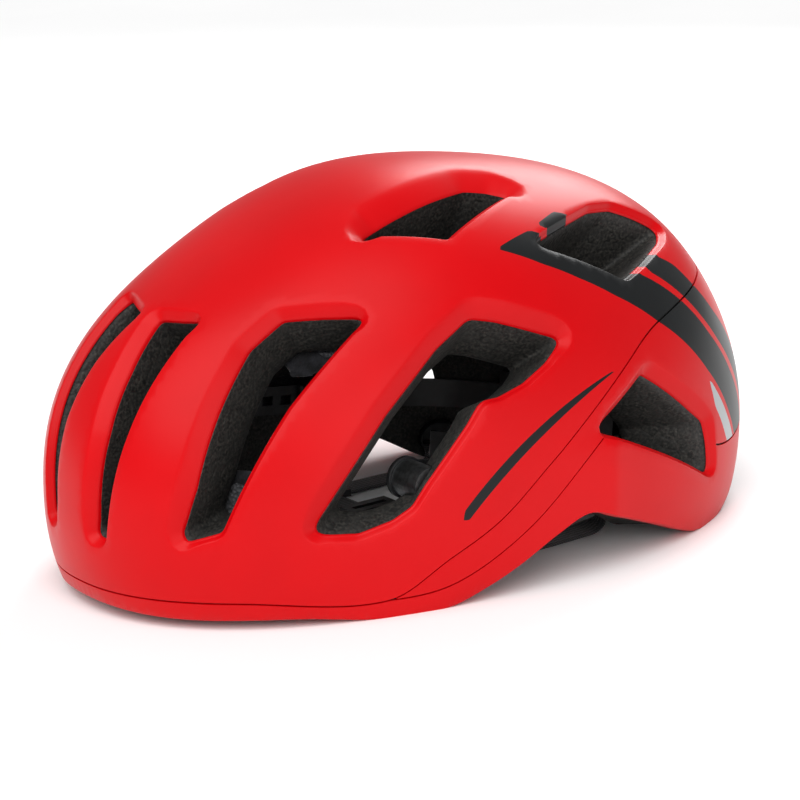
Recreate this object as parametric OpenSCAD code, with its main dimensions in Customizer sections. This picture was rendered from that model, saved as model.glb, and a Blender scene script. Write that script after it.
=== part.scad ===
// Vented road cycling helmet: moulded skins on a foam liner, pads, a dial-adjusted rear cradle
// and a webbing harness with a side-entry buckle.
// Millimetres. +Z up, the front faces -Y, the wearer's left is +X, and the helmet stands on its rim.

/* [Shell] */
// Half width of the outer surface at the middle
half_w = 99; // [97:0.5:101]
// Reach of the outer surface towards the front
front_len = 141; // [139:0.5:143]
// Reach of the outer surface towards the rear
rear_len = 150; // [148:0.5:152]
// Height of the crown over the middle plane
crown_h = 110; // [108:0.5:112]
// Thickness of the moulded skins
skin_t = 1.2; // [1:0.1:1.4]
// Width of the lip that the lower skin folds under the foam
lip_w = 7; // [5:0.5:9]

/* [Head cavity] */
// Half width of the head cavity
cav_half_w = 80; // [78:0.5:81]
// Reach of the head cavity towards the front
cav_front = 110; // [108:0.5:112]
// Reach of the head cavity towards the rear
cav_rear = 116; // [114:0.5:117]
// Height of the head cavity over the middle plane
cav_h = 86; // [84:0.5:87]
// Thickness of the comfort pads
pad_t = 5; // [4:0.5:6]

/* [Fit system] */
// Height of the temple pins' axis over the table
pin_z = 46; // [45:0.5:47]
// Position of the temple pins' axis along Y
pin_y = -46.5; // [-47:0.5:-46]
// Fall of the arms towards the rear
arm_fall = 7; // [6.5:0.5:7.5]
// Width of the arms and belts
belt_w = 12; // [11:0.5:12]
// Radius of the dial knob
knob_r = 16; // [14:0.5:17]
// Teeth on the dial's pinion
pinion_teeth = 12; // [12]

/* [Harness] */
// Width of the webbing
web_w = 14; // [12:0.5:15]
// Thickness of the webbing
web_t = 1.2; // [1:0.1:1.3]

/* [Hidden] */

mid_z = 42.5;         // height of the middle plane in the helmet's own axes
tilt = 3;             // the helmet stands nose-up by this angle
lift = -8.8;          // puts the rim on the table after the tilt
shift_y = -12.6;      // centres the whole over the origin
flat = 2.19;          // squareness of the plan outline
dome = 2.25;          // squareness of the side outline
gap = 0.3;            // clearance between neighbouring pieces of one body
big = 400;            // larger than the helmet

// Gentle swellings of the outer surface: azimuth from the front, angle from the crown,
// spread in degrees and height in millimetres. Each is mirrored to the other side.
SWELLS = [[180, 50, 26, 7.8], [0, 5, 30, 7.2], [165, 88, 24, 7.8], [0, 45, 26, -3.6],
          [90, 40, 26, 5], [150, 52, 14, 2.5]];

// Rim and parting lines: azimuth from the front, and angle from the crown
RIM = [[0, 104.5], [20, 105.5], [40, 107], [57, 110], [70, 110], [80, 106.5], [88, 102.5],
       [97, 97], [105, 93.5], [113, 95.5], [125, 99], [139, 102.5], [148, 101], [157, 96],
       [166, 89], [173, 86], [180, 85]];
UPPER_SEAM = [[0, 102], [30, 103], [57, 106], [70, 99], [82, 92], [95, 81], [109, 71], [123, 64],
              [132, 62], [150, 62], [180, 63]];
LOWER_SEAM = [[0, 102], [30, 103], [57, 106], [72, 104.5], [89, 95], [105, 81], [110, 77.5],
              [115, 76], [126, 79], [142, 88], [160, 87], [180, 83]];

// Vent outlines on the left half, in degrees of arc from the crown: to the left, to the rear
VENT_FRONT = [[3, -57], [9, -55.5], [14.4, -53.5], [15, -75], [14, -93], [9, -93.5], [8, -77],
              [6, -67]];
VENT_CHEEK = [[27.5, -44], [33, -37.5], [39, -29.5], [42, -54], [43, -80], [35, -86], [33, -85],
              [33, -77], [30, -64], [27, -52.5]];
VENT_SIDE = [[51, -20], [48, -9.5], [50, -3.5], [55, 14.5], [60.5, 7.5], [64, 0], [65.5, -8],
             [65, -13], [68.5, -18.5], [75, -35], [77, -41], [76, -48], [71.5, -58], [60.5, -69],
             [60, -54], [56.5, -38]];
VENT_CROWN = [[22.5, -22.5], [21, -9.5], [17.5, 7.5], [18.5, 12], [21, 17], [32.5, -6.5]];
VENT_SHOULDER = [[36, 13.5], [23, 35], [22.5, 48], [41, 32]];
VENT_REAR_SIDE = [[57, 38.5], [53.5, 63.5], [58, 74], [73.5, 22.5]];
VENT_TAIL = [[13, 66.5], [14, 78], [22, 77], [23, 66]];
VENTS = [[VENT_FRONT, [11, -75]], [VENT_CHEEK, [35, -60]], [VENT_SIDE, [62, -22]],
         [VENT_CROWN, [22.5, 0]], [VENT_SHOULDER, [31, 32]], [VENT_REAR_SIDE, [60, 50]],
         [VENT_TAIL, [18, 72]]];

// ---- surface functions ----

function clamp1(v) = max(-1, min(1, v));
function unit(t, p) = [sin(p) * sin(t), -sin(p) * cos(t), cos(p)];
function arc_dir(x, y) = let (p = norm([x, y])) p == 0 ? [0, 0, 1] : [sin(p) * x / p, sin(p) * y / p, cos(p)];
function sum(v, i = 0) = i >= len(v) ? 0 : v[i] + sum(v, i + 1);
function swell(d, t, s) = s[3] * exp(-pow(acos(clamp1(d * unit(t, s[1]))) / s[2], 2));
function swells(d) = sum([for (s = SWELLS) swell(d, s[0], s) + (s[0] % 180 == 0 ? 0 : swell(d, -s[0], s))]);
// Distance of the outer surface from the middle point, along the direction d
function reach(d) =
    let (b = d.y < 0 ? front_len : rear_len, a = half_w * (1 + 0.08 * d.y), h = crown_h * (1 + 0.09 * d.y),
         plan = pow(pow(abs(d.x) / a, flat) + pow(abs(d.y) / b, flat), dome / flat))
    pow(plan + pow(abs(d.z) / h, dome), -1 / dome) + swells(d);
// Distance of the head cavity's wall: an ellipsoid above the middle plane, a straight wall below it
function hollow(d) =
    let (b = d.y < 0 ? cav_front : cav_rear)
    1 / sqrt(pow(d.x / cav_half_w, 2) + pow(d.y / b, 2) + (d.z > 0 ? pow(d.z / cav_h, 2) : 0));
// Puts a point of the helmet's own axes where it stands on the table
function stand(v) = [v.x, v.y * cos(tilt) + v.z * sin(tilt) + shift_y, v.z * cos(tilt) - v.y * sin(tilt) + lift];
function outer(d, off) = stand([0, 0, mid_z] + d * (reach(d) + off));
function inner(d, off) = stand([0, 0, mid_z] + d * (hollow(d) + off));
// Smooth curve through a list of [angle, value] pairs, mirrored at 0 and 180
function key_at(k, i) = i < 0 ? [-k[-i][0], k[-i][1]]
    : i >= len(k) ? [360 - k[2 * len(k) - 2 - i][0], k[2 * len(k) - 2 - i][1]] : k[i];
function span_of(k, t, i = 0) = i >= len(k) - 2 || t <= k[i + 1][0] ? i : span_of(k, t, i + 1);
function slope(k, i) = (key_at(k, i + 1)[1] - key_at(k, i - 1)[1]) / (key_at(k, i + 1)[0] - key_at(k, i - 1)[0]);
function curve(k, angle) =
    let (t = abs(angle), i = span_of(k, t), w = k[i + 1][0] - k[i][0], u = (t - k[i][0]) / w)
    (2 * u * u * u - 3 * u * u + 1) * k[i][1] + (u * u * u - 2 * u * u + u) * w * slope(k, i)
    + (3 * u * u - 2 * u * u * u) * k[i + 1][1] + (u * u * u - u * u) * w * slope(k, i + 1);

// ---- solid builders ----

// Closed ring of sections: every section is a closed loop of the same number of points
module looped(sections) {
    n = len(sections);
    m = len(sections[0]);
    faces = [for (i = [0:n - 1], j = [0:m - 1], k = [0, 1])
        let (a = i * m + j, b = ((i + 1) % n) * m + j, c = ((i + 1) % n) * m + (j + 1) % m, d = i * m + (j + 1) % m)
        k == 0 ? [a, b, c] : [a, c, d]];
    polyhedron([for (s = sections, p = s) p], faces, 10);
}

// Open row of sections, closed at both ends by fans
module swept(sections) {
    n = len(sections);
    m = len(sections[0]);
    sides = [for (i = [0:n - 2], j = [0:m - 1], k = [0, 1])
        let (a = i * m + j, b = (i + 1) * m + j, c = (i + 1) * m + (j + 1) % m, d = i * m + (j + 1) % m)
        k == 0 ? [a, b, c] : [a, c, d]];
    ends = [for (j = [1:m - 2]) [0, j, j + 1]];
    far = [for (j = [1:m - 2]) [(n - 1) * m, (n - 1) * m + j + 1, (n - 1) * m + j]];
    polyhedron([for (s = sections, p = s) p], concat(sides, ends, far), 10);
}

// Dome between two surfaces: rows of rings from the crown down to the rim, outside then inside
module domed(rings_out, rings_in) {
    m = len(rings_out[0]);
    n = len(rings_out);
    base = 1 + n * m;
    pts = concat([rings_out[0][0]], [for (r = rings_out, p = r) p], [rings_in[0][0]], [for (r = rings_in, p = r) p]);
    function o(i, j) = 1 + i * m + j % m;
    function s(i, j) = base + 1 + i * m + j % m;
    faces = concat(
        [for (j = [0:m - 1]) [0, o(1, j + 1), o(1, j)]],
        [for (j = [0:m - 1]) [base, s(1, j), s(1, j + 1)]],
        [for (i = [1:n - 2], j = [0:m - 1], k = [0, 1])
            k == 0 ? [o(i, j), o(i + 1, j + 1), o(i + 1, j)] : [o(i, j), o(i, j + 1), o(i + 1, j + 1)]],
        [for (i = [1:n - 2], j = [0:m - 1], k = [0, 1])
            k == 0 ? [s(i, j), s(i + 1, j), s(i + 1, j + 1)] : [s(i, j), s(i + 1, j + 1), s(i, j + 1)]],
        [for (j = [0:m - 1], k = [0, 1])
            k == 0 ? [o(n - 1, j), s(n - 1, j + 1), s(n - 1, j)] : [o(n - 1, j), o(n - 1, j + 1), s(n - 1, j + 1)]]);
    polyhedron(pts, faces, 10);
}

function refined(loop, n) = [for (i = [0:len(loop) - 1], k = [0:n - 1])
    loop[i] + (loop[(i + 1) % len(loop)] - loop[i]) * k / n];

// Radial plug through the wall, following an outline: it cuts one vent
module vent_plug(outline, centre, side) {
    loop = refined(outline, 2);
    m = len(loop);
    taper = 0.88;     // the plug narrows towards the head
    over = 9;         // its reach past each surface
    pts = concat(
        [for (q = loop) outer(arc_dir(side * q.x, q.y), over)],
        [for (q = loop) let (w = centre + (q - centre) * taper) inner(arc_dir(side * w.x, w.y), -over)],
        [outer(arc_dir(side * centre.x, centre.y), over), inner(arc_dir(side * centre.x, centre.y), -over)]);
    faces = concat(
        [for (j = [0:m - 1], k = [0, 1]) k == 0 ? [j, m + j, m + (j + 1) % m] : [j, m + (j + 1) % m, (j + 1) % m]],
        [for (j = [0:m - 1]) [2 * m, j, (j + 1) % m]],
        [for (j = [0:m - 1]) [2 * m + 1, m + (j + 1) % m, m + j]]);
    polyhedron(pts, side > 0 ? faces : [for (f = faces) [f[0], f[2], f[1]]], 10);
}

module vent_plugs() {
    for (v = VENTS, side = [-1, 1]) vent_plug(v[0], v[1], side);
}

module above_table() {
    translate([-big / 2, -big / 2, 0]) cube(big);
}

step = 6;             // spacing of the sections round the helmet, in degrees
AROUND = [-180:step:174];
one = [0, 0, 0];      // keeps the size of what is turned into one clean mesh

// ---- skins and foam ----

// Point of a skin between two lines: u runs from 0 at the first to 1 at the second
function between(t, a, b, u, off) = outer(unit(t, a + (b - a) * u), off);

// The lower parting line never rises over the upper one
function lower_seam(t) = max(curve(UPPER_SEAM, t), curve(LOWER_SEAM, t));

module upper_shell() {
    rows = 14;
    function ring(off, i) = [for (t = AROUND) outer(unit(t, (curve(UPPER_SEAM, t) - 0.1) * i / rows), off)];
    color("crimson") resize(one) difference() {
        domed([for (i = [0:rows]) ring(0, i)], [for (i = [0:rows]) ring(-skin_t, i)]);
        vent_plugs();
    }
}

module rear_shell() {
    rows = 5;
    function across(t, off, i) = between(t, curve(UPPER_SEAM, t) + 0.1, curve(LOWER_SEAM, t) - 0.1, i / rows, off);
    color("red") resize(one) difference() {
        swept([for (t = [66:step:294]) let (s = t > 180 ? t - 360 : t)
            concat([for (i = [0:rows]) across(s, 0, i)], [for (i = [rows:-1:0]) across(s, -skin_t, i)])]);
        vent_plugs();
    }
}

module lower_shell() {
    rows = 5;
    function across(t, off, i) = between(t, lower_seam(t) + 0.1, curve(RIM, t), i / rows, off);
    // The lip folds inwards under the foam, level with the rim
    function section(t) = let (low = across(t, 0, rows), lip = across(t, -lip_w, rows))
        concat([for (i = [0:rows]) across(t, 0, i)],
               [[lip.x, lip.y, low.z + 0.4], [lip.x, lip.y, low.z + 0.4 + skin_t]],
               [for (i = [rows - 1:-1:0]) across(t, -skin_t, i)]);
    color("firebrick") resize(one) intersection() {
        difference() {
            looped([for (t = AROUND) section(t)]);
            vent_plugs();
        }
        above_table();
    }
}

module foam_liner() {
    rows = 16;
    rise = 2.2;       // height of the foam's underside over the rim
    function low(t) = outer(unit(t, curve(RIM, t)), 0).z + rise;
    // Angle from the crown at which the cavity's wall reaches the foam's underside
    function foot(t) = let (r = hollow(unit(t, 90)), z = inner(unit(t, 90), 0).z) atan2(r, (low(t) - z) / cos(tilt));
    function out_ring(i) = [for (t = AROUND) outer(unit(t, (curve(RIM, t) - 1.4) * i / rows), -skin_t - gap)];
    function in_ring(i) = [for (t = AROUND) inner(unit(t, foot(t) * i / rows), 0)];
    color("dimgray") resize(one) difference() {
        domed([for (i = [0:rows]) out_ring(i)], [for (i = [0:rows]) in_ring(i)]);
        vent_plugs();
        liner_pockets();
    }
}

// ---- pads ----

// Pad on the cavity's wall with round ends: sections across it, carried along it
module wall_pad(path, half, ends, back, thick) {
    n = len(path);
    cells = 4;
    sections = [for (i = [0:n - 1])
        let (u = i / (n - 1), w = half * (1 - ends * pow(abs(2 * u - 1), 6)),
             d = path[min(i + 1, n - 1)] - path[max(i - 1, 0)], s = [-d.y, d.x] / norm(d))
        concat([for (j = [-cells:2:cells]) let (q = path[i] + s * w * j / cells) inner(arc_dir(q.x, q.y), -back)],
               [for (j = [cells:-2:-cells]) let (q = path[i] + s * w * j / cells)
                   inner(arc_dir(q.x, q.y), -back - thick)])];
    swept(sections);
}

pad_back = 1.4;
BROW_PATH = [for (t = [-36:6:36]) [88 * sin(t), -88 * cos(t)]];
MIDDLE_PATH = [for (y = [-62:8:50]) [0, y]];
SIDE_PATH = [for (y = [-50:8:38]) [40 - 0.006 * y * y, y]];
TEMPLE_PATH = [for (t = [78:6:108]) [84 * sin(t), -84 * cos(t)]];

module brow_pad() color("black") wall_pad(BROW_PATH, 7, 0.4, pad_back, pad_t);
module crown_pad_middle() color("black") wall_pad(MIDDLE_PATH, 7, 0.4, pad_back, pad_t);
module crown_pad_side() wall_pad(SIDE_PATH, 7, 0.4, pad_back, pad_t);
module temple_pad() wall_pad(TEMPLE_PATH, 6, 0.4, pad_back, 4);
module crown_pad_left() color("black") crown_pad_side();
module crown_pad_right() color("black") mirror([1, 0, 0]) crown_pad_side();
module temple_pad_left() color("black") temple_pad();
module temple_pad_right() color("black") mirror([1, 0, 0]) temple_pad();

// Round hook-and-loop dots that hold the pads on the foam
module hook_dots() {
    sides = 12;
    function ring(c, back) = [for (k = [0:sides - 1])
        let (q = c + 4 * [cos(360 * k / sides), sin(360 * k / sides)]) inner(arc_dir(q.x, q.y), -back)];
    middle = [for (y = [-50, -10, 38]) [0, y]];
    brow = [for (t = [-24, 0, 24]) [88 * sin(t), -88 * cos(t)]];
    crown = [for (s = [-1, 1], y = [-38, 26]) [s * (40 - 0.006 * y * y), y]];
    temple = [for (s = [-1, 1], t = [85, 101]) [s * 84 * sin(t), -84 * cos(t)]];
    color("gray") for (c = concat(middle, brow, crown, temple)) swept([ring(c, 0.6), ring(c, 1.1)]);
}

// ---- strap anchors and temple pins ----

// Each anchor: place on the cavity's wall and the direction into the foam
FRONT_ANCHOR = [68, -68.5, 24.4];
FRONT_TURN = -24;
REAR_ANCHOR = [59, 61.5, 12];
REAR_TURN = 30;
anchor_r = 8;
pin_r = 3;

module at_anchor(place, turn) translate(place) rotate([0, 0, turn]) rotate([0, 90, 0]) children();
module both_sides() { children(); mirror([1, 0, 0]) children(); }

// Clearance in the foam for the anchors, the temple pins and the height slider
module liner_pockets() {
    both_sides() {
        at_anchor(FRONT_ANCHOR, FRONT_TURN) translate([0, 0, -8]) cylinder(h = 15.3, r = anchor_r + gap, $fn = 32);
        at_anchor(REAR_ANCHOR, REAR_TURN) translate([0, 0, -8]) cylinder(h = 15.3, r = anchor_r + gap, $fn = 32);
        translate([60, pin_y, pin_z]) rotate([0, 90, 0]) cylinder(h = 25.5, r = 7 + gap, $fn = 32);
    }
    translate([0, pin_y, pin_z]) rotate([21, 0, 0]) translate([-12.3, 118, -30]) cube([24.6, 19, 60]);
}

// Sector of a flat ring about the Z axis, from angle 0, with its faces at 0 and h
module rotate_extrude_sector(r0, r1, h, angle) {
    difference() {
        cylinder(h = h, r = r1, $fn = 120);
        translate([0, 0, -1]) cylinder(h = h + 2, r = r0, $fn = 120);
        translate([0, 0, -1]) wedge_rest(r1 + 1, angle, h + 2);
    }
}

// Everything of a disc outside the sector from 0 to angle
module wedge_rest(r, angle, h) {
    far = 2 * r;
    linear_extrude(h) polygon([[0, 0], far * [cos(angle), sin(angle)],
        far * [cos(angle + 60), sin(angle + 60)], [-far, 0], [-far, -far], [far, -far], [far, 0]]);
}

module strap_anchor() {
    difference() {
        translate([0, 0, -2.5]) cylinder(h = 9.2, r = anchor_r, $fn = 48);
        translate([-1.1, -web_w / 2 - 0.3, -3]) cube([2.2, web_w + 0.6, 5]);
    }
}
module strap_anchor_front_left() color("darkslategray") at_anchor(FRONT_ANCHOR, FRONT_TURN) strap_anchor();
module strap_anchor_front_right() color("darkslategray") mirror([1, 0, 0])
    at_anchor(FRONT_ANCHOR, FRONT_TURN) strap_anchor();
module strap_anchor_rear_left() color("darkslategray") at_anchor(REAR_ANCHOR, REAR_TURN) strap_anchor();
module strap_anchor_rear_right() color("darkslategray") mirror([1, 0, 0])
    at_anchor(REAR_ANCHOR, REAR_TURN) strap_anchor();

arm_x = 69;           // middle of the arm's plate
arm_t = 1.6;          // thickness of the arm's plate and of the belt

module temple_pin() translate([0, pin_y, pin_z]) rotate([0, 90, 0]) {
    translate([0, 0, arm_x + arm_t / 2 + 0.3]) cylinder(h = 14.9, r = 7, $fn = 48);
    translate([0, 0, arm_x - arm_t / 2 - 0.3]) cylinder(h = arm_t + 0.7, r = pin_r, $fn = 48);
    translate([0, 0, arm_x - arm_t / 2 - 2]) cylinder(h = 1.7, r = 5, $fn = 48);
}
module temple_pin_left() color("silver") temple_pin();
module temple_pin_right() color("silver") mirror([1, 0, 0]) temple_pin();

// ---- fit system, in the axes of the temple pins: Y along the arms, which fall to the rear ----

belt_x = 66.8;        // middle of the belt
bend_r = 54;          // radius of the belt's bend round the head
bend_y = 84;          // where the bend starts
bend_a = 62;          // angle of the bend
house_w = 38;         // half width of the dial housing
house_y = 126;        // front face of the dial housing
house_d = 6.6;        // depth of its tray
house_h = 13;         // half height of the dial housing
wall_t = 1.4;
travel = 16;          // travel of each rack and of the cradle

module fit_frame() translate([0, pin_y, pin_z]) rotate([-arm_fall, 0, 0]) children();

module fit_arm() fit_frame() {
    flange = 1.2;
    rail = belt_w / 2 + 0.4;
    rail_y = 44;
    rail_len = 22;
    difference() {
        union() {
            translate([arm_x - arm_t / 2, 0, 0]) rotate([0, 90, 0]) cylinder(h = arm_t, r = 8, $fn = 48);
            translate([arm_x - arm_t / 2, 0, -belt_w / 2]) cube([arm_t, 70, belt_w]);
        }
        translate([arm_x - 2, 0, 0]) rotate([0, 90, 0]) cylinder(h = 4, r = pin_r + 0.06, $fn = 48);
        for (k = [0:2]) translate([arm_x - 2, 16 + 9 * k, -2]) cube([4, 5, 4]);
    }
    for (s = [-1, 1]) {
        translate([belt_x - 2.4, rail_y, s > 0 ? rail : -rail - flange])
            cube([arm_x + arm_t / 2 - belt_x + 2.4, rail_len, flange]);
        translate([belt_x - 2.4, rail_y, s > 0 ? rail - 1.8 : -rail]) cube([1.2, rail_len, 2]);
        translate([arm_x - arm_t / 2, rail_y, s > 0 ? rail - 0.6 : -rail - 0.2]) cube([arm_t, rail_len, 0.8]);
    }
}
module fit_arm_left() color("slategray") fit_arm();
module fit_arm_right() color("slategray") mirror([1, 0, 0]) fit_arm();

module fit_belt() fit_frame() {
    difference() {
        translate([belt_x - arm_t / 2, 42, -belt_w / 2]) cube([arm_t, bend_y - 42, belt_w]);
        for (k = [0:5]) translate([belt_x - 2, 47 + 6 * k, -1.5]) cube([4, 3, 3]);
    }
    translate([belt_x - bend_r, bend_y, -belt_w / 2])
        rotate_extrude_sector(bend_r - arm_t / 2, bend_r + arm_t / 2, belt_w, bend_a);
}
module fit_belt_left() color("dimgray") fit_belt();
module fit_belt_right() color("dimgray") mirror([1, 0, 0]) fit_belt();

// Plate and finger-like lower wings that hold the back of the head
cradle_r = 54;
cradle_y = 68;
module cradle_frame() color("slategray") fit_frame() {
    difference() {
        translate([0, cradle_y, -24]) rotate([0, 0, 32]) rotate_extrude_sector(cradle_r - 1, cradle_r + 1.2, 11, 116);
        for (s = [-1, 1]) translate([0, cradle_y, -18.5]) rotate([0, 0, 90 + 34 * s]) rotate([0, 90, 0])
            cylinder(h = 80, r = 3, $fn = 32);
    }
    for (s = [-1, 1]) translate([s * 19 - 5, cradle_y + 51.4, -20]) cube([10, house_y - cradle_y - 51.4, 14]);
}

module cradle_pad() fit_frame() translate([0, cradle_y, -23])
    rotate([0, 0, 36]) rotate_extrude_sector(cradle_r - 7, cradle_r - 1.3, 9, 42);
module cradle_pad_left() color("black") cradle_pad();
module cradle_pad_right() color("black") mirror([1, 0, 0]) cradle_pad();

SCREW_X = [-30, 30];
module dial_housing() color("dimgray") fit_frame() difference() {
    translate([-house_w, house_y, -house_h]) cube([2 * house_w, house_d, 2 * house_h]);
    difference() {
        translate([-house_w + wall_t, house_y + wall_t, -house_h + wall_t])
            cube([2 * (house_w - wall_t), house_d, 2 * (house_h - wall_t)]);
        for (x = SCREW_X) translate([x, house_y, 0]) rotate([-90, 0, 0]) cylinder(h = 9, r = 2.6, $fn = 32);
    }
    for (x = SCREW_X) translate([x, house_y + 1.6, 0]) rotate([-90, 0, 0]) cylinder(h = 9, r = 0.95, $fn = 32);
    for (x = [-10:10:10]) translate([x - 1.5, house_y - 1, -9]) cube([3, 4, 3]);
}

cover_y = house_y + house_d;
cover_t = 1.6;
shaft_r = 4;
module dial_cover() color("gray") fit_frame() difference() {
    union() {
        translate([-house_w, cover_y, -house_h]) cube([2 * house_w, cover_t, 2 * house_h]);
        translate([0, cover_y, 0]) rotate([-90, 0, 0]) cylinder(h = cover_t + 0.9, r = 7, $fn = 48);
    }
    translate([0, cover_y - 1, 0]) rotate([-90, 0, 0]) cylinder(h = 6, r = shaft_r + 0.06, $fn = 48);
    for (x = SCREW_X) translate([x, cover_y - 1, 0]) rotate([-90, 0, 0]) cylinder(h = 6, r = 1.1, $fn = 32);
}

module cover_screws() color("silver") fit_frame() for (x = SCREW_X) translate([x, 0, 0]) rotate([-90, 0, 0]) {
    translate([0, 0, cover_y - 4]) cylinder(h = 4 + cover_t, r = 0.95, $fn = 32);
    translate([0, 0, cover_y + cover_t]) difference() {
        cylinder(h = 1.1, r = 2, $fn = 32);
        for (a = [0, 90]) rotate([0, 0, a]) translate([-1.3, -0.25, 0.5]) cube([2.6, 0.5, 1]);
    }
}

knob_y = cover_y + cover_t + 1.3;
knob_t = 8;
module dial_knob() color("dimgray") fit_frame() difference() {
    translate([0, knob_y, 0]) rotate([-90, 0, 0]) union() {
        cylinder(h = knob_t - 1.5, r = knob_r, $fn = 64);
        translate([0, 0, knob_t - 1.5]) cylinder(h = 1.5, r1 = knob_r, r2 = knob_r - 1.5, $fn = 64);
    }
    for (a = [0:20:340]) rotate([0, a, 0]) translate([knob_r + 0.9, knob_y - 1, 0]) rotate([-90, 0, 0])
        cylinder(h = knob_t + 2, r = 2, $fn = 32);
    translate([0, knob_y - 1, 0]) rotate([-90, 0, 0]) cylinder(h = 5, r = shaft_r + 0.02, $fn = 48);
    translate([0, knob_y - 1, 0]) rotate([-90, 0, 0]) cylinder(h = 12, r = 1.6, $fn = 32);
    translate([0, knob_y + knob_t - 2.2, 0]) rotate([-90, 0, 0]) cylinder(h = 4, r = 3.6, $fn = 32);
}

// Pinion and racks, module 1: straight-sided teeth with a running backlash
tooth = PI;           // pitch of the teeth
gear_y = house_y + wall_t + 0.5;
gear_t = 3.8;
module dial_pinion() color("silver") fit_frame() {
    pitch_r = pinion_teeth / 2;
    difference() {
        union() {
            translate([0, gear_y, 0]) rotate([-90, 0, 0]) linear_extrude(gear_t) {
                circle(r = pitch_r - 1.2, $fn = 48);
                for (k = [0:pinion_teeth - 1]) rotate(360 * (k + 0.5) / pinion_teeth)
                    polygon([[pitch_r - 1.6, -1.05], [pitch_r, -0.6], [pitch_r + 0.75, -0.3],
                             [pitch_r + 0.75, 0.3], [pitch_r, 0.6], [pitch_r - 1.6, 1.05]]);
            }
            translate([0, gear_y + gear_t, 0]) rotate([-90, 0, 0]) cylinder(h = 6.5, r = shaft_r, $fn = 48);
        }
        translate([0, gear_y + 1, 0]) rotate([-90, 0, 0]) cylinder(h = 20, r = 1.32, $fn = 32);
    }
}

module dial_screw() color("silver") fit_frame() rotate([-90, 0, 0]) {
    translate([0, 0, gear_y + 2]) cylinder(h = knob_y + knob_t - 2.2 - gear_y - 2, r = 1.3, $fn = 32);
    translate([0, 0, knob_y + knob_t - 2.2]) difference() {
        cylinder(h = 1.6, r = 3.2, $fn = 32);
        for (a = [0, 90]) rotate([0, 0, a]) translate([-2.1, -0.4, 0.8]) cube([4.2, 0.8, 1]);
    }
}

// Rack over the pinion; the other one is the same piece turned half a turn
module rack() {
    pitch_z = pinion_teeth / 2;
    teeth = 15;
    start = -16;
    translate([0, gear_y + 0.2 + gear_t - 0.4, 0]) rotate([90, 0, 0]) linear_extrude(gear_t - 0.4) {
        translate([start, pitch_z + 1.1]) square([teeth * tooth + 2.6, 3.4]);
        for (k = [0:teeth - 1]) translate([tooth * (k - 5) + tooth / 2 * (pinion_teeth / 4 % 2 == 1 ? 0 : 1), pitch_z])
            polygon([[-1.0, 1.3], [-0.55, 0], [-0.3, -0.7], [0.3, -0.7], [0.55, 0], [1.0, 1.3]]);
    }
}
module rack_left() color("lightgray") fit_frame() rack();
module rack_right() color("lightgray") fit_frame() rotate([0, 180, 0]) rack();

// ---- height adjuster at the rear: an arc about the temple pins ----

arc_r = 130;          // radius of the height strap about the pins
top_a = 20.5;         // angle of the strap's upper hinge over the arms
module about_pins(from) fit_frame() rotate([90, 0, 90]) rotate([0, 0, from]) children();
// Sector about the pins' axis: half width, radii, start and span
module pin_sector(half, r0, r1, from, span) about_pins(from) translate([0, 0, -half])
    rotate_extrude_sector(r0, r1, 2 * half, span);

module height_guide() color("darkslategray") {
    from = arm_fall + 11;
    pin_sector(11.2, 133.4, 135.6, from, 21);
    both_sides() about_pins(from) translate([0, 0, 9]) rotate_extrude_sector(124.5, 133.6, 2.2, 21);
    both_sides() about_pins(from) translate([0, 0, 6.5]) rotate_extrude_sector(123.4, 124.7, 4.7, 21);
}
module height_slider() color("slategray") difference() {
    union() {
        pin_sector(8.4, 126.5, 132.6, top_a + 2.6, 6.2);
        both_sides() about_pins(top_a - 1.2) translate([0, 0, 5.4]) rotate_extrude_sector(127, 132.2, 3, 4.2);
    }
    about_pins(top_a) translate([arc_r, 0, -12]) cylinder(h = 24, r = 1.25, $fn = 32);
}
module height_pin() color("silver") about_pins(top_a) translate([arc_r, 0, -8.2]) cylinder(h = 16.4, r = 1.2, $fn = 32);
module height_strap() color("dimgray") difference() {
    union() {
        pin_sector(4.8, arc_r - 0.8, arc_r + 0.8, 8, top_a - 8.4);
        about_pins(top_a) translate([arc_r, 0, -5]) cylinder(h = 10, r = 2.2, $fn = 32);
    }
    about_pins(top_a) translate([arc_r, 0, -6]) cylinder(h = 12, r = 1.26, $fn = 32);
    for (a = [10:3:16]) about_pins(a) translate([arc_r - 5, 0, 0]) rotate([0, 90, 0]) cylinder(h = 10, r = 1.5, $fn = 32);
}

// ---- harness: webbing laid inside the rim, dividers, buckle ----

function unitv(v) = v / norm(v);
// Smooth curve through hand-placed points [x, y, z, angle of the width in plan]
function spline(p, i, u) = let (a = p[max(i - 1, 0)], b = p[i], c = p[i + 1], d = p[min(i + 2, len(p) - 1)])
    0.5 * (2 * b + (c - a) * u + (2 * a - 5 * b + 4 * c - d) * u * u + (3 * b - a - 3 * c + d) * u * u * u);
function track(p, n) = concat([for (i = [0:len(p) - 2], k = [0:n - 1]) spline(p, i, k / n)], [p[len(p) - 1]]);
function xyz(q) = [q[0], q[1], q[2]];

module ribbon(points) {
    t = track(points, 3);
    n = len(t);
    swept([for (i = [0:n - 1])
        let (c = xyz(t[i]), dir = unitv(xyz(t[min(i + 1, n - 1)]) - xyz(t[max(i - 1, 0)])),
             w0 = [cos(t[i][3]), sin(t[i][3]), 0], w = unitv(w0 - (w0 * dir) * dir) * web_w / 2,
             up = unitv(cross(dir, w)) * web_t / 2)
        [c - w - up, c + w - up, c + w + up, c - w + up]]);
}

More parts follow.
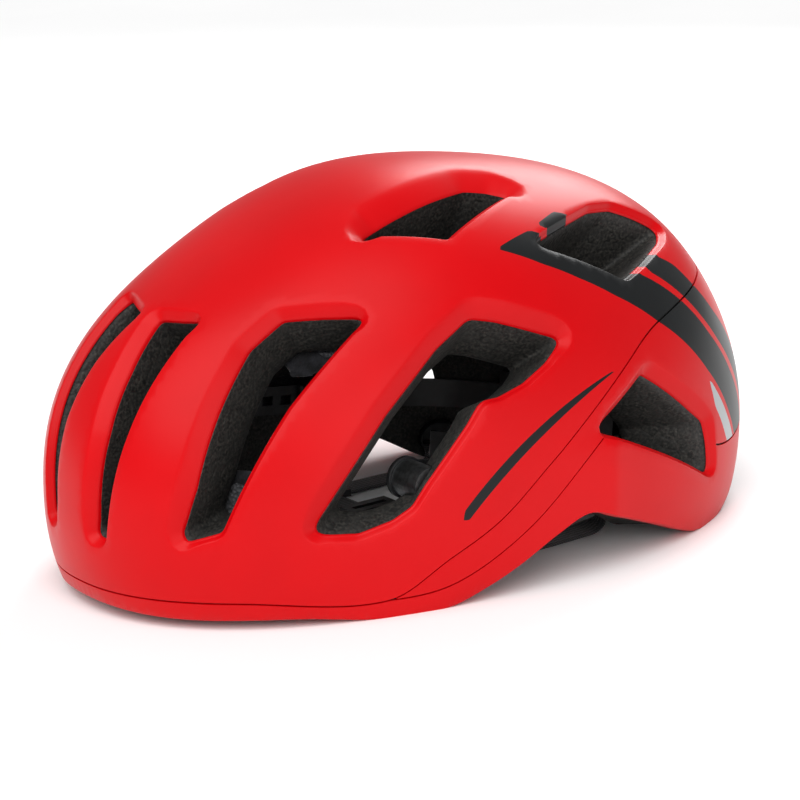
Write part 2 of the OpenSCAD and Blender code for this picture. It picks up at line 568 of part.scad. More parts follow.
lay = 1.1;            // height of the middle of webbing that lies on the table
FRONT_WEB = [[64.5, -67, 19, 66], [64, -66.5, 12, 60], [63.5, -64.5, 5, 45], [62.5, -59.5, 1.9, 25],
             [61, -51.5, lay, 10], [58.5, -40.5, lay, 8], [57, -28.5, lay, 3], [56, -16.5, lay, 0]];
REAR_WEB = [[54.5, 59, 9.5, -60], [54.3, 58, 6, -45], [54.5, 55, 3, -20], [55, 49.5, 1.3, -5],
            [55.5, 41.5, lay, 0], [56, 29.5, lay, 0], [56, 18.5, lay, 0], [56, 7.5, lay, 0]];

module webbing_front_left() color("black") ribbon(FRONT_WEB);
module webbing_front_right() color("black") mirror([1, 0, 0]) ribbon(FRONT_WEB);
module webbing_rear_left() color("black") ribbon(REAR_WEB);
module webbing_rear_right() color("black") mirror([1, 0, 0]) ribbon(REAR_WEB);

buckle_y = -4.5;      // line of the dividers and the buckle
div_x = 48;           // inner edge of the divider
div_w = 16;
div_len = 23;
module divider() translate([0, buckle_y, 0]) {
    difference() {
        translate([div_x, -div_len / 2, 0.4]) cube([div_w, div_len, 3]);
        translate([div_x + 3, -div_len / 2 + 5, 0]) cube([div_w - 7, 2.2, 5]);
        translate([div_x + 3, div_len / 2 - 7.2, 0]) cube([div_w - 7, 2.2, 5]);
    }
    for (s = [-1, 1]) difference() {
        translate([div_x + div_w - 5, s * 8 - 1, 3.4]) cube([4, 2, 3]);
        translate([div_x + div_w - 3, s * 8 - 2, 5]) rotate([-90, 0, 0]) cylinder(h = 4, r = 0.86, $fn = 32);
    }
}
module divider_left() color("dimgray") divider();
module divider_right() color("dimgray") mirror([1, 0, 0]) divider();
module divider_lever() translate([0, buckle_y, 0]) {
    translate([div_x + div_w - 3, -9, 5]) rotate([-90, 0, 0]) cylinder(h = 18, r = 0.8, $fn = 32);
    translate([div_x + div_w - 3, -6.6, 5]) rotate([-90, 0, 0]) cylinder(h = 13.2, r = 1.3, $fn = 32);
    translate([div_x - 1.5, -6.6, 4.2]) cube([div_w - 2.2, 13.2, 1.5]);
}
module divider_lever_left() color("gray") divider_lever();
module divider_lever_right() color("gray") mirror([1, 0, 0]) divider_lever();

// Flat run of webbing along X between two stations, kept low on the table
module flat_web(x0, x1) translate([min(x0, x1), buckle_y - web_w / 2, lay - web_t / 2]) cube([abs(x1 - x0), web_w, web_t]);
module chin_webbing_left() color("black") flat_web(div_x - 0.2, 27.2);
module chin_webbing_right() color("black") flat_web(-div_x + 0.2, -14);

socket_w = 11;        // half width of the buckle
module buckle_socket() color("dimgray") translate([0, buckle_y, 0]) difference() {
    translate([3, -socket_w, 0.5]) cube([24, 2 * socket_w, 7.5]);
    translate([2, -socket_w + 1.6, 2.1]) cube([19, 2 * socket_w - 3.2, 4.3]);
    for (s = [-1, 1]) translate([9, s * (socket_w - 1) - 3, 2.1]) cube([7, 6, 4.3]);
}
module buckle_prongs() color("dimgray") translate([0, buckle_y, 0]) {
    difference() {
        translate([-23, -socket_w, 2.3]) cube([25.6, 2 * socket_w, 4]);
        translate([-19, -socket_w + 3, 2]) cube([3, 2 * socket_w - 6, 5]);
        translate([-12.5, -socket_w + 3, 2]) cube([3, 2 * socket_w - 6, 5]);
    }
    for (s = [-1, 1]) {
        translate([2, s * 6.3 - 1.6, 2.5]) cube([14.5, 3.2, 3.5]);
        translate([10.5, s * 7.6 - 1.3, 2.5]) cube([5, 2.6, 3.5]);
    }
    translate([2, -1.3, 2.5]) cube([17, 2.6, 3.5]);
}
module strap_keeper() color("black") translate([36, buckle_y, 0]) difference() {
    translate([0, -web_w / 2 - 2, 0.1]) cube([5, web_w + 4, 3.4]);
    translate([-1, -web_w / 2 - 0.3, 0.45]) cube([7, web_w + 0.6, web_t + 0.3]);
}

upper_shell();
rear_shell();
lower_shell();
foam_liner();
brow_pad();
crown_pad_middle();
crown_pad_left();
crown_pad_right();
temple_pad_left();
temple_pad_right();
hook_dots();
strap_anchor_front_left();
strap_anchor_front_right();
strap_anchor_rear_left();
strap_anchor_rear_right();
temple_pin_left();
temple_pin_right();
fit_arm_left();
fit_arm_right();
fit_belt_left();
fit_belt_right();
cradle_frame();
cradle_pad_left();
cradle_pad_right();
dial_housing();
dial_cover();
cover_screws();
dial_knob();
dial_pinion();
dial_screw();
rack_left();
rack_right();
height_guide();
height_slider();
height_pin();
height_strap();
webbing_front_left();
webbing_front_right();
webbing_rear_left();
webbing_rear_right();
divider_left();
divider_right();
divider_lever_left();
divider_lever_right();
chin_webbing_left();
chin_webbing_right();
buckle_socket();
buckle_prongs();
strap_keeper();
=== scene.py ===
"""Vented road cycling helmet: moulded skins, bead foam, pads, fit system and harness."""

import math

import bmesh
import bpy
import numpy as np
from mathutils import Matrix, Vector
from mathutils.geometry import delaunay_2d_cdt


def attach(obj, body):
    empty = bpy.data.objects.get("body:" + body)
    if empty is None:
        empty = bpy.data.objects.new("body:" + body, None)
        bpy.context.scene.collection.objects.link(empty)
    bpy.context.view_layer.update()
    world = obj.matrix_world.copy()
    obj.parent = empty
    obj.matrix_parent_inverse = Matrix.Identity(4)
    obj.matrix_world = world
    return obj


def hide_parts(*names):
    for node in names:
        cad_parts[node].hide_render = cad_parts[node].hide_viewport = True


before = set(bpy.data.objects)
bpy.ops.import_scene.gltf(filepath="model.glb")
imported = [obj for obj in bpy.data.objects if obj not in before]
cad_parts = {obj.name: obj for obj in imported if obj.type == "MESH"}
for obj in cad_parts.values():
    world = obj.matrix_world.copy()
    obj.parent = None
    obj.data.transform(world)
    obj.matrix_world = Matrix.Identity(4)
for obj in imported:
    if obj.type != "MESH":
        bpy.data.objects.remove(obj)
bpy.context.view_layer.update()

bl_info = {
    "name": "Road cycling helmet",
    "version": (1, 0, 0),
    "blender": (4, 5, 0),
    "location": "View3D > Sidebar > Helmet",
    "description": "Builds the helmet's skins, foam, pads, fit system and harness on its frame",
    "category": "Object",
}

MM = 0.001            # every shape below is worked out in millimetres
HALF_WIDTH = 99       # outer surface: half width, reach to the front and rear, crown height
FRONT_REACH = 141
REAR_REACH = 150
CROWN = 110
CAVITY_HALF_WIDTH = 80
CAVITY_FRONT = 110
CAVITY_REAR = 116
CAVITY_HEIGHT = 86
MIDDLE_Z = 42.5       # middle point of both surfaces, in the helmet's own axes
TILT = math.radians(3)    # the helmet stands nose-up by this angle
LIFT = -8.8
SHIFT_Y = -12.6
PLAN_POWER = 2.19     # squareness of the plan outline and of the side outline
SIDE_POWER = 2.25
PIN = (0, -46.5, 46)  # axis of the temple pins
TABLE_CLEAR = 0.02    # lowest height of a skin over the table
PART_HALF = 0.17      # half width of a parting line, in degrees of arc
NET_LIMIT = 112       # half size of the net on the chart, in degrees of arc
UNDER_SKIN = 1.6      # the foam's outer surface lies this far under the skins'
UNDERSIDE_RISE = 2.2  # height of the foam's underside over the rim
FOAM_NET = 2.2        # spacing of the foam's net, in degrees of arc
FOAM_INSET = 1.4      # the foam stops this far above the rim, in degrees of arc
INNER_SHARE = 0.9     # a vent's inner outline over its outer one
ARM_FALL = math.radians(7)

# Gentle swellings: azimuth from the front, angle from the crown, spread in degrees, height
SWELLS = [(180, 50, 26, 7.8), (0, 5, 30, 7.2), (165, 88, 24, 7.8), (0, 45, 26, -3.6), (90, 40, 26, 5),
          (150, 52, 14, 2.5)]

# Rim and parting lines: azimuth from the front, and angle from the crown
RIM = [(0, 104.5), (20, 105.5), (40, 107), (57, 110), (70, 110), (80, 106.5), (88, 102.5), (97, 97),
       (105, 93.5), (113, 95.5), (125, 99), (139, 102.5), (148, 101), (157, 96), (166, 89), (173, 86),
       (180, 85)]
UPPER_SEAM = [(0, 102), (30, 103), (57, 106), (70, 99), (82, 92), (95, 81), (109, 71), (123, 64),
              (132, 62), (150, 62), (180, 63)]
LOWER_SEAM = [(0, 102), (30, 103), (57, 106), (72, 104.5), (89, 95), (105, 81), (110, 77.5), (115, 76),
              (126, 79), (142, 88), (160, 87), (180, 83)]

# Vents of the left half: centre of the fan, corner radius, outline corners in degrees of arc from the
# crown (to the left, to the rear), the side where the chamfer is widest, and its share there and opposite
VENTS = {
    "front": ((11, -75), 3, [(3, -57), (9, -55.5), (14.4, -53.5), (15, -75), (14, -93), (9, -93.5),
                             (8, -77), (6, -67)], (-1, 0.5), 1.15, 0.4),
    "cheek": ((35, -60), 4, [(27.5, -44), (33, -37.5), (39, -29.5), (42, -54), (43, -80), (35, -86),
                             (33, -85), (33, -77), (30, -64), (27, -52.5)], (-1, 0.6), 1.25, 0.35),
    "side": ((62, -22), 6, [(51, -20), (48, -9.5), (50, -3.5), (55, 14.5), (60.5, 7.5), (64, 0),
                            (65.5, -8), (65, -13), (68.5, -18.5), (75, -35), (77, -41), (76, -48),
                            (71.5, -58), (60.5, -69), (60, -54), (56.5, -38)], (-1, 0.4), 1.35, 0.4),
    "crown": ((22.5, 0), 3, [(22.5, -22.5), (21, -9.5), (17.5, 7.5), (18.5, 12), (21, 17), (32.5, -6.5)],
              (-1, 0.25), 2.7, 0.4),
    "shoulder": ((31, 32), 4, [(36.6, 10.5), (30, 22.8), (24.6, 31), (22, 37), (21.3, 48.6), (27, 46),
                               (37, 37.5), (41, 33)],
                 (-1, 0), 0.4, 0.3),
    "rear_side": ((60, 50), 4, [(57, 38.5), (53.5, 63.5), (58, 74), (73.5, 22.5)], (-0.3, -1), 1.0, 0.35),
    "tail": ((18, 72), 3, [(13, 66.5), (14, 78), (22, 77), (23, 66)], (0, -1), 1.0, 0.5),
}

# Printed shapes of the left half, in the same degrees of arc
BROAD_STRIPE = [(37.4, 1.9), (41.3, 11.3), (43.6, 19.7), (45.4, 28.6), (46.7, 40.6), (46.6, 58.4),
                (45.4, 70), (43.2, 82), (40.5, 94), (32.6, 94), (35.6, 81), (37.9, 68.4), (39, 58),
                (38.9, 45), (38.7, 36.6), (37, 34), (33, 24), (34.5, 16.2), (34.4, 14.6), (33.6, 11.9)]
BROAD_TAB = [(33, 16.5), (32, 14.6), (28, 20.8), (28.2, 23.2), (31, 24), (34, 18)]
NARROW_STRIPE = [(35.5, 36.5), (37.2, 40), (37.5, 48.5), (37.6, 54.7), (37.3, 61.3), (36.2, 68),
                 (33.8, 80), (30.6, 94), (23.5, 94), (27.2, 79), (30.2, 66), (31.8, 60), (32.4, 52.2),
                 (32, 46.8), (32.6, 42.6), (30.5, 40)]
REFLECTOR = [(47.6, 59), (50.2, 64), (49.6, 72), (47.4, 82), (44, 94), (41.4, 94), (44.4, 82), (46.6, 70),
             (47.4, 63)]


# ---- surface functions, all on whole arrays ----

def unit(azimuth, angle):
    """Directions at an azimuth from the front and an angle from the crown, in degrees."""
    t, p = np.radians(azimuth), np.radians(angle)
    return np.stack([np.sin(p) * np.sin(t), -np.sin(p) * np.cos(t), np.cos(p)], -1)


def from_chart(q):
    """Directions of chart points: the distance from the crown is the arc, the bearing stays."""
    p = np.maximum(np.hypot(q[..., 0], q[..., 1]), 1e-9)
    s = np.sin(np.radians(p)) / p
    return np.stack([q[..., 0] * s, q[..., 1] * s, np.cos(np.radians(p))], -1)


def to_chart(d):
    """Chart points of directions, the inverse of from_chart."""
    p = np.degrees(np.arccos(np.clip(d[..., 2], -1, 1)))
    s = p / np.maximum(np.hypot(d[..., 0], d[..., 1]), 1e-12)
    return np.stack([d[..., 0] * s, d[..., 1] * s], -1)


def curve(keys, azimuth):
    """Cubic Hermite through (angle, value) keys, with slopes from the neighbours, mirrored at both ends."""
    k = np.array(keys, float)
    k = np.vstack([[-k[1, 0], k[1, 1]], k, [360 - k[-2, 0], k[-2, 1]]])
    t = np.abs((np.asarray(azimuth, float) + 180) % 360 - 180)
    i = np.clip(np.searchsorted(k[1:-1, 0], t, side="right") - 1, 0, len(keys) - 2) + 1
    slope = (k[2:, 1] - k[:-2, 1]) / (k[2:, 0] - k[:-2, 0])
    w = k[i + 1, 0] - k[i, 0]
    u = (t - k[i, 0]) / w
    s0, s1 = slope[i - 1], slope[i]
    return ((2 * u**3 - 3 * u**2 + 1) * k[i, 1] + (u**3 - 2 * u**2 + u) * w * s0
            + (3 * u**2 - 2 * u**3) * k[i + 1, 1] + (u**3 - u**2) * w * s1)


def reach(d):
    """Outer surface: a superellipsoid, longer to the rear and wider there, plus Gaussian swellings."""
    length = np.where(d[..., 1] < 0, FRONT_REACH, REAR_REACH)
    width = HALF_WIDTH * (1 + 0.08 * d[..., 1])
    height = CROWN * (1 + 0.09 * d[..., 1])
    plan = (np.abs(d[..., 0] / width) ** PLAN_POWER + np.abs(d[..., 1] / length) ** PLAN_POWER)
    r = (plan ** (SIDE_POWER / PLAN_POWER) + np.abs(d[..., 2] / height) ** SIDE_POWER) ** (-1 / SIDE_POWER)
    for azimuth, angle, spread, high in SWELLS:
        for side in {azimuth, -azimuth} if azimuth % 180 else {azimuth}:
            away = np.degrees(np.arccos(np.clip(d @ unit(side, angle), -1, 1)))
            r = r + high * np.exp(-((away / spread) ** 2))
    return r


def hollow(d):
    """Head cavity: an ellipsoid above the middle plane and an upright elliptic wall below it."""
    length = np.where(d[..., 1] < 0, CAVITY_FRONT, CAVITY_REAR)
    up = np.maximum(d[..., 2], 0) / CAVITY_HEIGHT
    return 1 / np.sqrt((d[..., 0] / CAVITY_HALF_WIDTH) ** 2 + (d[..., 1] / length) ** 2 + up**2)


def stand(p):
    """Turns a point of the helmet's own axes nose-up and puts it on the table."""
    c, s = math.cos(TILT), math.sin(TILT)
    return np.stack([p[..., 0], p[..., 1] * c + p[..., 2] * s + SHIFT_Y,
                     p[..., 2] * c - p[..., 1] * s + LIFT], -1)


def at(d, r):
    """The point at distance r from the middle point, along the direction d."""
    return stand(d * np.asarray(r)[..., None] + np.array([0, 0, MIDDLE_Z]))


def outer(d, off=0.0):
    return at(d, reach(d) + off)


def inner(d, off=0.0):
    return at(d, hollow(d) + off)


def fit_axes(p):
    """Points of the fit system's own axes, which fall to the rear about the temple pins."""
    c, s = math.cos(ARM_FALL), math.sin(ARM_FALL)
    p = np.asarray(p, float)
    return np.stack([p[..., 0], p[..., 1] * c + p[..., 2] * s + PIN[1],
                     p[..., 2] * c - p[..., 1] * s + PIN[2]], -1)


# ---- outlines ----

def rounded(corners, radius, spacing):
    """Closed outline with its corners cut by parabolic arcs of about that radius, at even spacing."""
    p = np.array(corners, float)
    before, after = np.roll(p, 1, 0) - p, np.roll(p, -1, 0) - p
    lb, la = np.linalg.norm(before, axis=1), np.linalg.norm(after, axis=1)
    turn = np.arccos(np.clip(-np.sum(before * after, 1) / lb / la, -1, 1))
    cut = np.minimum(radius * np.tan(turn / 2) + 0.3, 0.45 * np.minimum(lb, la))
    a, b = p + before / lb[:, None] * cut[:, None], p + after / la[:, None] * cut[:, None]
    u = np.linspace(0, 1, 9)[None, :, None]
    dense = (a[:, None] * (1 - u) ** 2 + 2 * p[:, None] * u * (1 - u) + b[:, None] * u**2).reshape(-1, 2)
    closed = np.vstack([dense, dense[:1]])
    along = np.concatenate([[0], np.cumsum(np.linalg.norm(np.diff(closed, axis=0), axis=1))])
    n = max(24, int(round(along[-1] / spacing)))
    s = np.arange(n) * along[-1] / n
    return np.stack([np.interp(s, along, closed[:, k]) for k in (0, 1)], -1)


def normals_of(loop):
    """Outward normals of a counterclockwise loop."""
    t = np.roll(loop, -1, 0) - np.roll(loop, 1, 0)
    t /= np.linalg.norm(t, axis=1)[:, None]
    return np.stack([t[:, 1], -t[:, 0]], -1)


def area_of(loop):
    """Signed area of a loop, by the shoelace rule."""
    n = np.roll(loop, -1, 0)
    return np.sum(loop[:, 0] * n[:, 1] - n[:, 0] * loop[:, 1]) / 2


def inside(points, loop):
    """Which points lie in a closed loop: crossings of a ray to the right, odd or even."""
    x, y = points[:, 0][:, None], points[:, 1][:, None]
    a, b = loop, np.roll(loop, -1, 0)
    hit = np.zeros(len(points), int)
    for k in range(0, len(points), 4000):
        yy, xx = y[k:k + 4000], x[k:k + 4000]
        spans = (a[:, 1] > yy) != (b[:, 1] > yy)
        rise = np.where(b[:, 1] == a[:, 1], 1e-12, b[:, 1] - a[:, 1])
        cross = a[:, 0] + (yy - a[:, 1]) / rise * (b[:, 0] - a[:, 0])
        hit[k:k + 4000] = np.sum(spans & (cross > xx), 1)
    return hit % 2 == 1


class Vent:
    """One vent: its outline as a loop in a stereographic plane that touches the sphere of directions."""

    def __init__(self, name, side, spacing=1.6):
        centre, radius, corners, widen, most, least = VENTS[name]
        turn = np.array([side, 1])
        self.n = from_chart(np.array(centre, float) * turn)
        self.e1 = np.cross([0, 0, 1], self.n)
        self.e1 /= np.linalg.norm(self.e1)
        self.e2 = np.cross(self.n, self.e1)
        self.size = float(reach(self.n[None])[0])
        flat = self.plane(from_chart(np.array(corners, float) * turn))
        if area_of(flat) < 0:
            flat = flat[::-1]
        self.loop = rounded(flat, radius, spacing)
        self.out = normals_of(self.loop)
        # the chamfer widens towards one direction of the chart
        tip = self.plane(from_chart(np.array(centre, float) * turn + np.array(widen) * turn))
        tip = (tip - self.plane(self.n)) / np.linalg.norm(tip - self.plane(self.n))
        lean = np.clip((self.out @ tip + 0.35) / 1.1, 0, 1)
        lean = lean * lean * (3 - 2 * lean)
        kernel = np.ones(11) / 11
        lean = np.convolve(np.concatenate([lean[-5:], lean, lean[:5]]), kernel, "valid")
        self.wide = least + (most - least) * lean

    def plane(self, d):
        """Stereographic projection of directions, in millimetres."""
        s = 2 * self.size / (1 + d @ self.n)
        return np.stack([d @ self.e1 * s, d @ self.e2 * s], -1)

    def directions(self, q):
        """The inverse projection."""
        q = q / self.size
        s = np.sum(q * q, -1)[..., None] / 4
        return ((1 - s) * self.n + q[..., :1] * self.e1 + q[..., 1:] * self.e2) / (1 + s)

    def at_offset(self, off):
        """Directions of the loop moved outwards by off."""
        return self.directions(self.loop + self.out * np.asarray(off)[..., None])


VENT_LIST = [Vent(name, side) for name in VENTS for side in (1, -1)]


def chamfer_rows(width, depth):
    """Profile from the crease to the opening, as (offset, depth): a hyperbola that starts level with the
    surface and soon runs straight, then a small roll-over and a short wall."""
    u = np.linspace(0, 1, 8)
    soft = 0.18
    fall = (np.sqrt(u * u + soft * soft) - soft) / (math.sqrt(1 + soft * soft) - soft)
    rows = [(width * (1 - a), depth * b) for a, b in zip(u, fall)]
    return rows + [(-0.35, depth + 0.35), (-0.55, depth + 0.9), (-0.6, depth + 1.8)]


# ---- mesh builders ----

class Patch:
    """Vertices, triangles or quads, and a material number for each, gathered from arrays."""

    def __init__(self):
        self.verts, self.faces, self.marks, self.count = [], [], [], 0

    def add(self, verts, faces, mark=0):
        faces = np.asarray(faces, int) + self.count
        if faces.shape[1] == 3:
            faces = np.column_stack([faces, np.full(len(faces), -1)])
        self.verts.append(np.asarray(verts, float))
        self.faces.append(faces)
        self.marks.append(np.broadcast_to(np.asarray(mark, int), (len(faces),)))
        self.count += len(verts)

    def mesh(self, name):
        verts = np.vstack(self.verts)
        faces = np.vstack(self.faces)
        size = np.where(faces[:, 3] < 0, 3, 4)
        me = bpy.data.meshes.new(name)
        me.vertices.add(len(verts))
        me.vertices.foreach_set("co", (verts * MM).astype(np.float32).ravel())
        me.loops.add(int(size.sum()))
        me.loops.foreach_set("vertex_index", faces[faces >= 0].astype(np.int32))
        me.polygons.add(len(faces))
        starts = np.concatenate([[0], np.cumsum(size)[:-1]])
        me.polygons.foreach_set("loop_start", starts.astype(np.int32))
        me.polygons.foreach_set("material_index", np.concatenate(self.marks).astype(np.int32))
        me.polygons.foreach_set("use_smooth", np.ones(len(faces), bool))
        me.update()
        me.validate()
        return me


def grid_faces(rows, cols, closed=True):
    """Quads between consecutive rows of a grid whose columns may close on themselves."""
    i, j = np.meshgrid(np.arange(rows - 1), np.arange(cols if closed else cols - 1), indexing="ij")
    k = (j + 1) % cols
    return np.stack([i * cols + j, i * cols + k, (i + 1) * cols + k, (i + 1) * cols + j], -1).reshape(-1, 4)


def build(name, patch, materials, weld=0.02, sharp=35):
    """Makes an object of a patch: welds its seams, points its faces outwards and marks its sharp edges."""
    me = patch.mesh(name)
    bm = bmesh.new()
    bm.from_mesh(me)
    bmesh.ops.remove_doubles(bm, verts=bm.verts, dist=weld * MM)
    bmesh.ops.recalc_face_normals(bm, faces=bm.faces)
    if bm.calc_volume(signed=True) < 0:
        bmesh.ops.reverse_faces(bm, faces=bm.faces)
    bm.to_mesh(me)
    bm.free()
    me.set_sharp_from_angle(angle=math.radians(sharp))
    for m in materials:
        me.materials.append(m)
    obj = bpy.data.objects.new(name, me)
    bpy.context.scene.collection.objects.link(obj)
    return obj


def hexagons(limit, spacing):
    """Points of a hexagonal net over a square of the chart."""
    rows = int(limit / spacing / 0.866) + 1
    i, j = np.meshgrid(np.arange(-rows, rows + 1), np.arange(-rows, rows + 1), indexing="ij")
    return np.stack([(j + 0.5 * (i % 2)) * spacing, i * spacing * 0.866], -1).reshape(-1, 2)


def triangulated(points, loops, keep_off):
    """Constrained Delaunay mesh of the loops and of the points that keep off them: returns the vertices
    and the triangles, both on the chart."""
    border = np.vstack(loops)
    near = np.ones(len(points), bool)
    for k in range(0, len(points), 1500):
        gap = points[k:k + 1500, None] - border[None]
        near[k:k + 1500] = np.min(np.sum(gap * gap, -1), 1) < keep_off**2
    points = points[~near]
    verts = np.vstack([points, border])
    edges, start = [], len(points)
    for loop in loops:
        k = np.arange(len(loop))
        edges.append(np.stack([k + start, (k + 1) % len(loop) + start], -1))
        start += len(loop)
    out = delaunay_2d_cdt([Vector(v) for v in verts], np.vstack(edges).tolist(), [], 0, 1e-5)
    flat = np.array([v[:] for v in out[0]])
    tris = np.array([f[:] for f in out[2] if len(f) == 3])
    return flat, tris


AROUND = np.arange(-180, 180, 1.5)


def upper_line(azimuth):
    return curve(UPPER_SEAM, azimuth)


def lower_line(azimuth):
    """The lower parting line, which never rises over the upper one."""
    return np.maximum(curve(LOWER_SEAM, azimuth), curve(UPPER_SEAM, azimuth))


def rim_line(azimuth):
    return curve(RIM, azimuth)


def line_on_chart(line, shift=0.0):
    """A rim or parting line as a closed loop on the chart."""
    p = line(AROUND) + shift
    t = np.radians(AROUND)
    return np.stack([p * np.sin(t), -p * np.cos(t)], -1)


def bearing(q):
    """Azimuth from the front and angle from the crown of chart points, in degrees."""
    return np.degrees(np.arctan2(q[:, 0], -q[:, 1])), np.hypot(q[:, 0], q[:, 1])


def ridge(d):
    """The upright crease where the side turns into the rear lobe: a rounded tent across the azimuth."""
    azimuth = np.abs(np.degrees(np.arctan2(d[..., 0], -d[..., 1])))
    angle = np.degrees(np.arccos(np.clip(d[..., 2], -1, 1)))
    tent = np.exp(-np.sqrt((azimuth - 111) ** 2 + 0.5) / 5.5)
    u = np.clip((angle - 76) / 5, 0, 1)
    return 1.7 * tent * u * u * (3 - 2 * u)


def skin_point(d, off=0.0):
    """A point of the skins, never under the table."""
    p = at(d, reach(d) + ridge(d) + off)
    p[..., 2] = np.maximum(p[..., 2], TABLE_CLEAR)
    return p


def chamfer_strip(vent, width, depth, extra=0.0):
    """Rows of points round a vent, from its crease down into the opening, and the chart place of each."""
    rows, charts = [], []
    for off, down in chamfer_rows(width, depth):
        grow = vent.wide if off > 0 else 1.0
        d = vent.at_offset(off * grow)
        deep = down * (0.45 + 0.55 * vent.wide)
        rows.append(skin_point(d, -deep - extra))
        charts.append(to_chart(d))
    return np.array(rows), np.array(charts)


# ---- materials ----

def linear(code):
    """Linear colour of an sRGB hex value."""
    v = [int(code[k:k + 2], 16) / 255 for k in (0, 2, 4)]
    return tuple(c / 12.92 if c <= 0.04045 else ((c + 0.055) / 1.055) ** 2.4 for c in v) + (1.0,)


def add(tree, kind, settings=None, values=None, links=None):
    """Adds one node with its settings, input values and links from other nodes' outputs."""
    node = tree.nodes.new(kind)
    for key, value in (settings or {}).items():
        setattr(node, key, value)
    for key, value in (values or {}).items():
        node.inputs[key].default_value = value
    for key, socket in (links or {}).items():
        tree.links.new(socket, node.inputs[key])
    return node


def material(name):
    """A new material with its Principled shader and output."""
    m = bpy.data.materials.new(name)
    m.use_nodes = True
    tree = m.node_tree
    tree.nodes.clear()
    shader = add(tree, "ShaderNodeBsdfPrincipled")
    add(tree, "ShaderNodeOutputMaterial", links={"Surface": shader.outputs[0]})
    return m, tree, shader


def place_of(tree):
    """Object coordinates."""
    return add(tree, "ShaderNodeTexCoord").outputs["Object"]


def mottled(tree, place, period_mm, low, high, detail=3.0, contrast=(0.35, 0.65)):
    """Colour that wanders between two hex values over patches of that size."""
    noise = add(tree, "ShaderNodeTexNoise", values={"Scale": 1 / (period_mm * MM), "Detail": detail},
                links={"Vector": place})
    ramp = add(tree, "ShaderNodeValToRGB", links={"Fac": noise.outputs["Fac"]})
    ramp.color_ramp.elements[0].position, ramp.color_ramp.elements[1].position = contrast
    ramp.color_ramp.elements[0].color, ramp.color_ramp.elements[1].color = linear(low), linear(high)
    return ramp.outputs["Color"]


def bumped(tree, height, strength, distance_mm, normal=None):
    """Bump from a height, whose full range is that many millimetres."""
    links = {"Height": height}
    if normal is not None:
        links["Normal"] = normal
    return add(tree, "ShaderNodeBump", values={"Strength": strength, "Distance": distance_mm * MM},
               links=links).outputs["Normal"]


def varied(tree, place, period_mm, low, high):
    """A roughness that wanders between two values."""
    noise = add(tree, "ShaderNodeTexNoise", values={"Scale": 1 / (period_mm * MM), "Detail": 2.0},
                links={"Vector": place})
    return add(tree, "ShaderNodeMapRange", values={"To Min": low, "To Max": high},
               links={"Value": noise.outputs["Fac"]}).outputs["Result"]


def painted_polycarbonate(name, colour, deeper, rough):
    """Satin-painted, vacuum-formed polycarbonate: even colour, a soft gloss and a faint orange peel."""
    m, tree, shader = material(name)
    place = place_of(tree)
    tree.links.new(mottled(tree, place, 60, deeper, colour), shader.inputs["Base Color"])
    tree.links.new(varied(tree, place, 25, rough - 0.03, rough + 0.04), shader.inputs["Roughness"])
    shader.inputs["IOR"].default_value = 1.5
    shader.inputs["Specular IOR Level"].default_value = 0.17
    peel = add(tree, "ShaderNodeTexNoise", values={"Scale": 1 / (1.6 * MM), "Detail": 1.0},
               links={"Vector": place})      # the real grain is finer, 0.3 mm, and would not show
    tree.links.new(bumped(tree, peel.outputs["Fac"], 0.12, 0.03), shader.inputs["Normal"])
    return m


def bead_foam():
    """Moulded expanded polystyrene, dyed black: fused beads of 3 to 4 mm whose tone differs at random from bead
    to bead, with pale grey speckles painted on the raised grain as highlights.
    """
    m, tree, shader = material("bead_foam")
    place = place_of(tree)
    cells = add(tree, "ShaderNodeTexVoronoi", {"feature": "F1"}, {"Scale": 1 / (3.6 * MM)},
                {"Vector": place})
    edges = add(tree, "ShaderNodeTexVoronoi", {"feature": "DISTANCE_TO_EDGE"}, {"Scale": 1 / (3.6 * MM)},
                {"Vector": place})
    fine = add(tree, "ShaderNodeTexNoise", values={"Scale": 1 / (1.1 * MM), "Detail": 4.0},
               links={"Vector": place})
    # near-black with pale grey speckles where the fine grain rises: painted highlights, not the foam's own
    # colour
    base_with_painted_highlights = add(tree, "ShaderNodeMix", {"data_type": "RGBA"}, {6: linear("141413"), 7: linear("4A4742")},
               {"Factor": add(tree, "ShaderNodeMapRange", values={"From Min": 0.42, "From Max": 0.78},
                              links={"Value": fine.outputs["Fac"]}).outputs["Result"]})
    grey = add(tree, "ShaderNodeSeparateColor", links={"Color": cells.outputs["Color"]})
    bead = add(tree, "ShaderNodeMix", {"data_type": "RGBA"}, {7: linear("2B2A28")},
               {"Factor": add(tree, "ShaderNodeMath", {"operation": "MULTIPLY"}, {1: 0.6},
                              {0: grey.outputs[0]}).outputs[0], 6: base_with_painted_highlights.outputs[2]})
    tree.links.new(bead.outputs[2], shader.inputs["Base Color"])
    shader.inputs["Roughness"].default_value = 0.62
    shader.inputs["Specular IOR Level"].default_value = 0.35
    shader.inputs["IOR"].default_value = 1.5
    rise = add(tree, "ShaderNodeMapRange", values={"From Max": 0.25},
               links={"Value": edges.outputs["Distance"]})
    round_bead = bumped(tree, rise.outputs["Result"], 0.55, 0.25)
    tree.links.new(bumped(tree, fine.outputs["Fac"], 0.4, 0.25, round_bead), shader.inputs["Normal"])
    return m


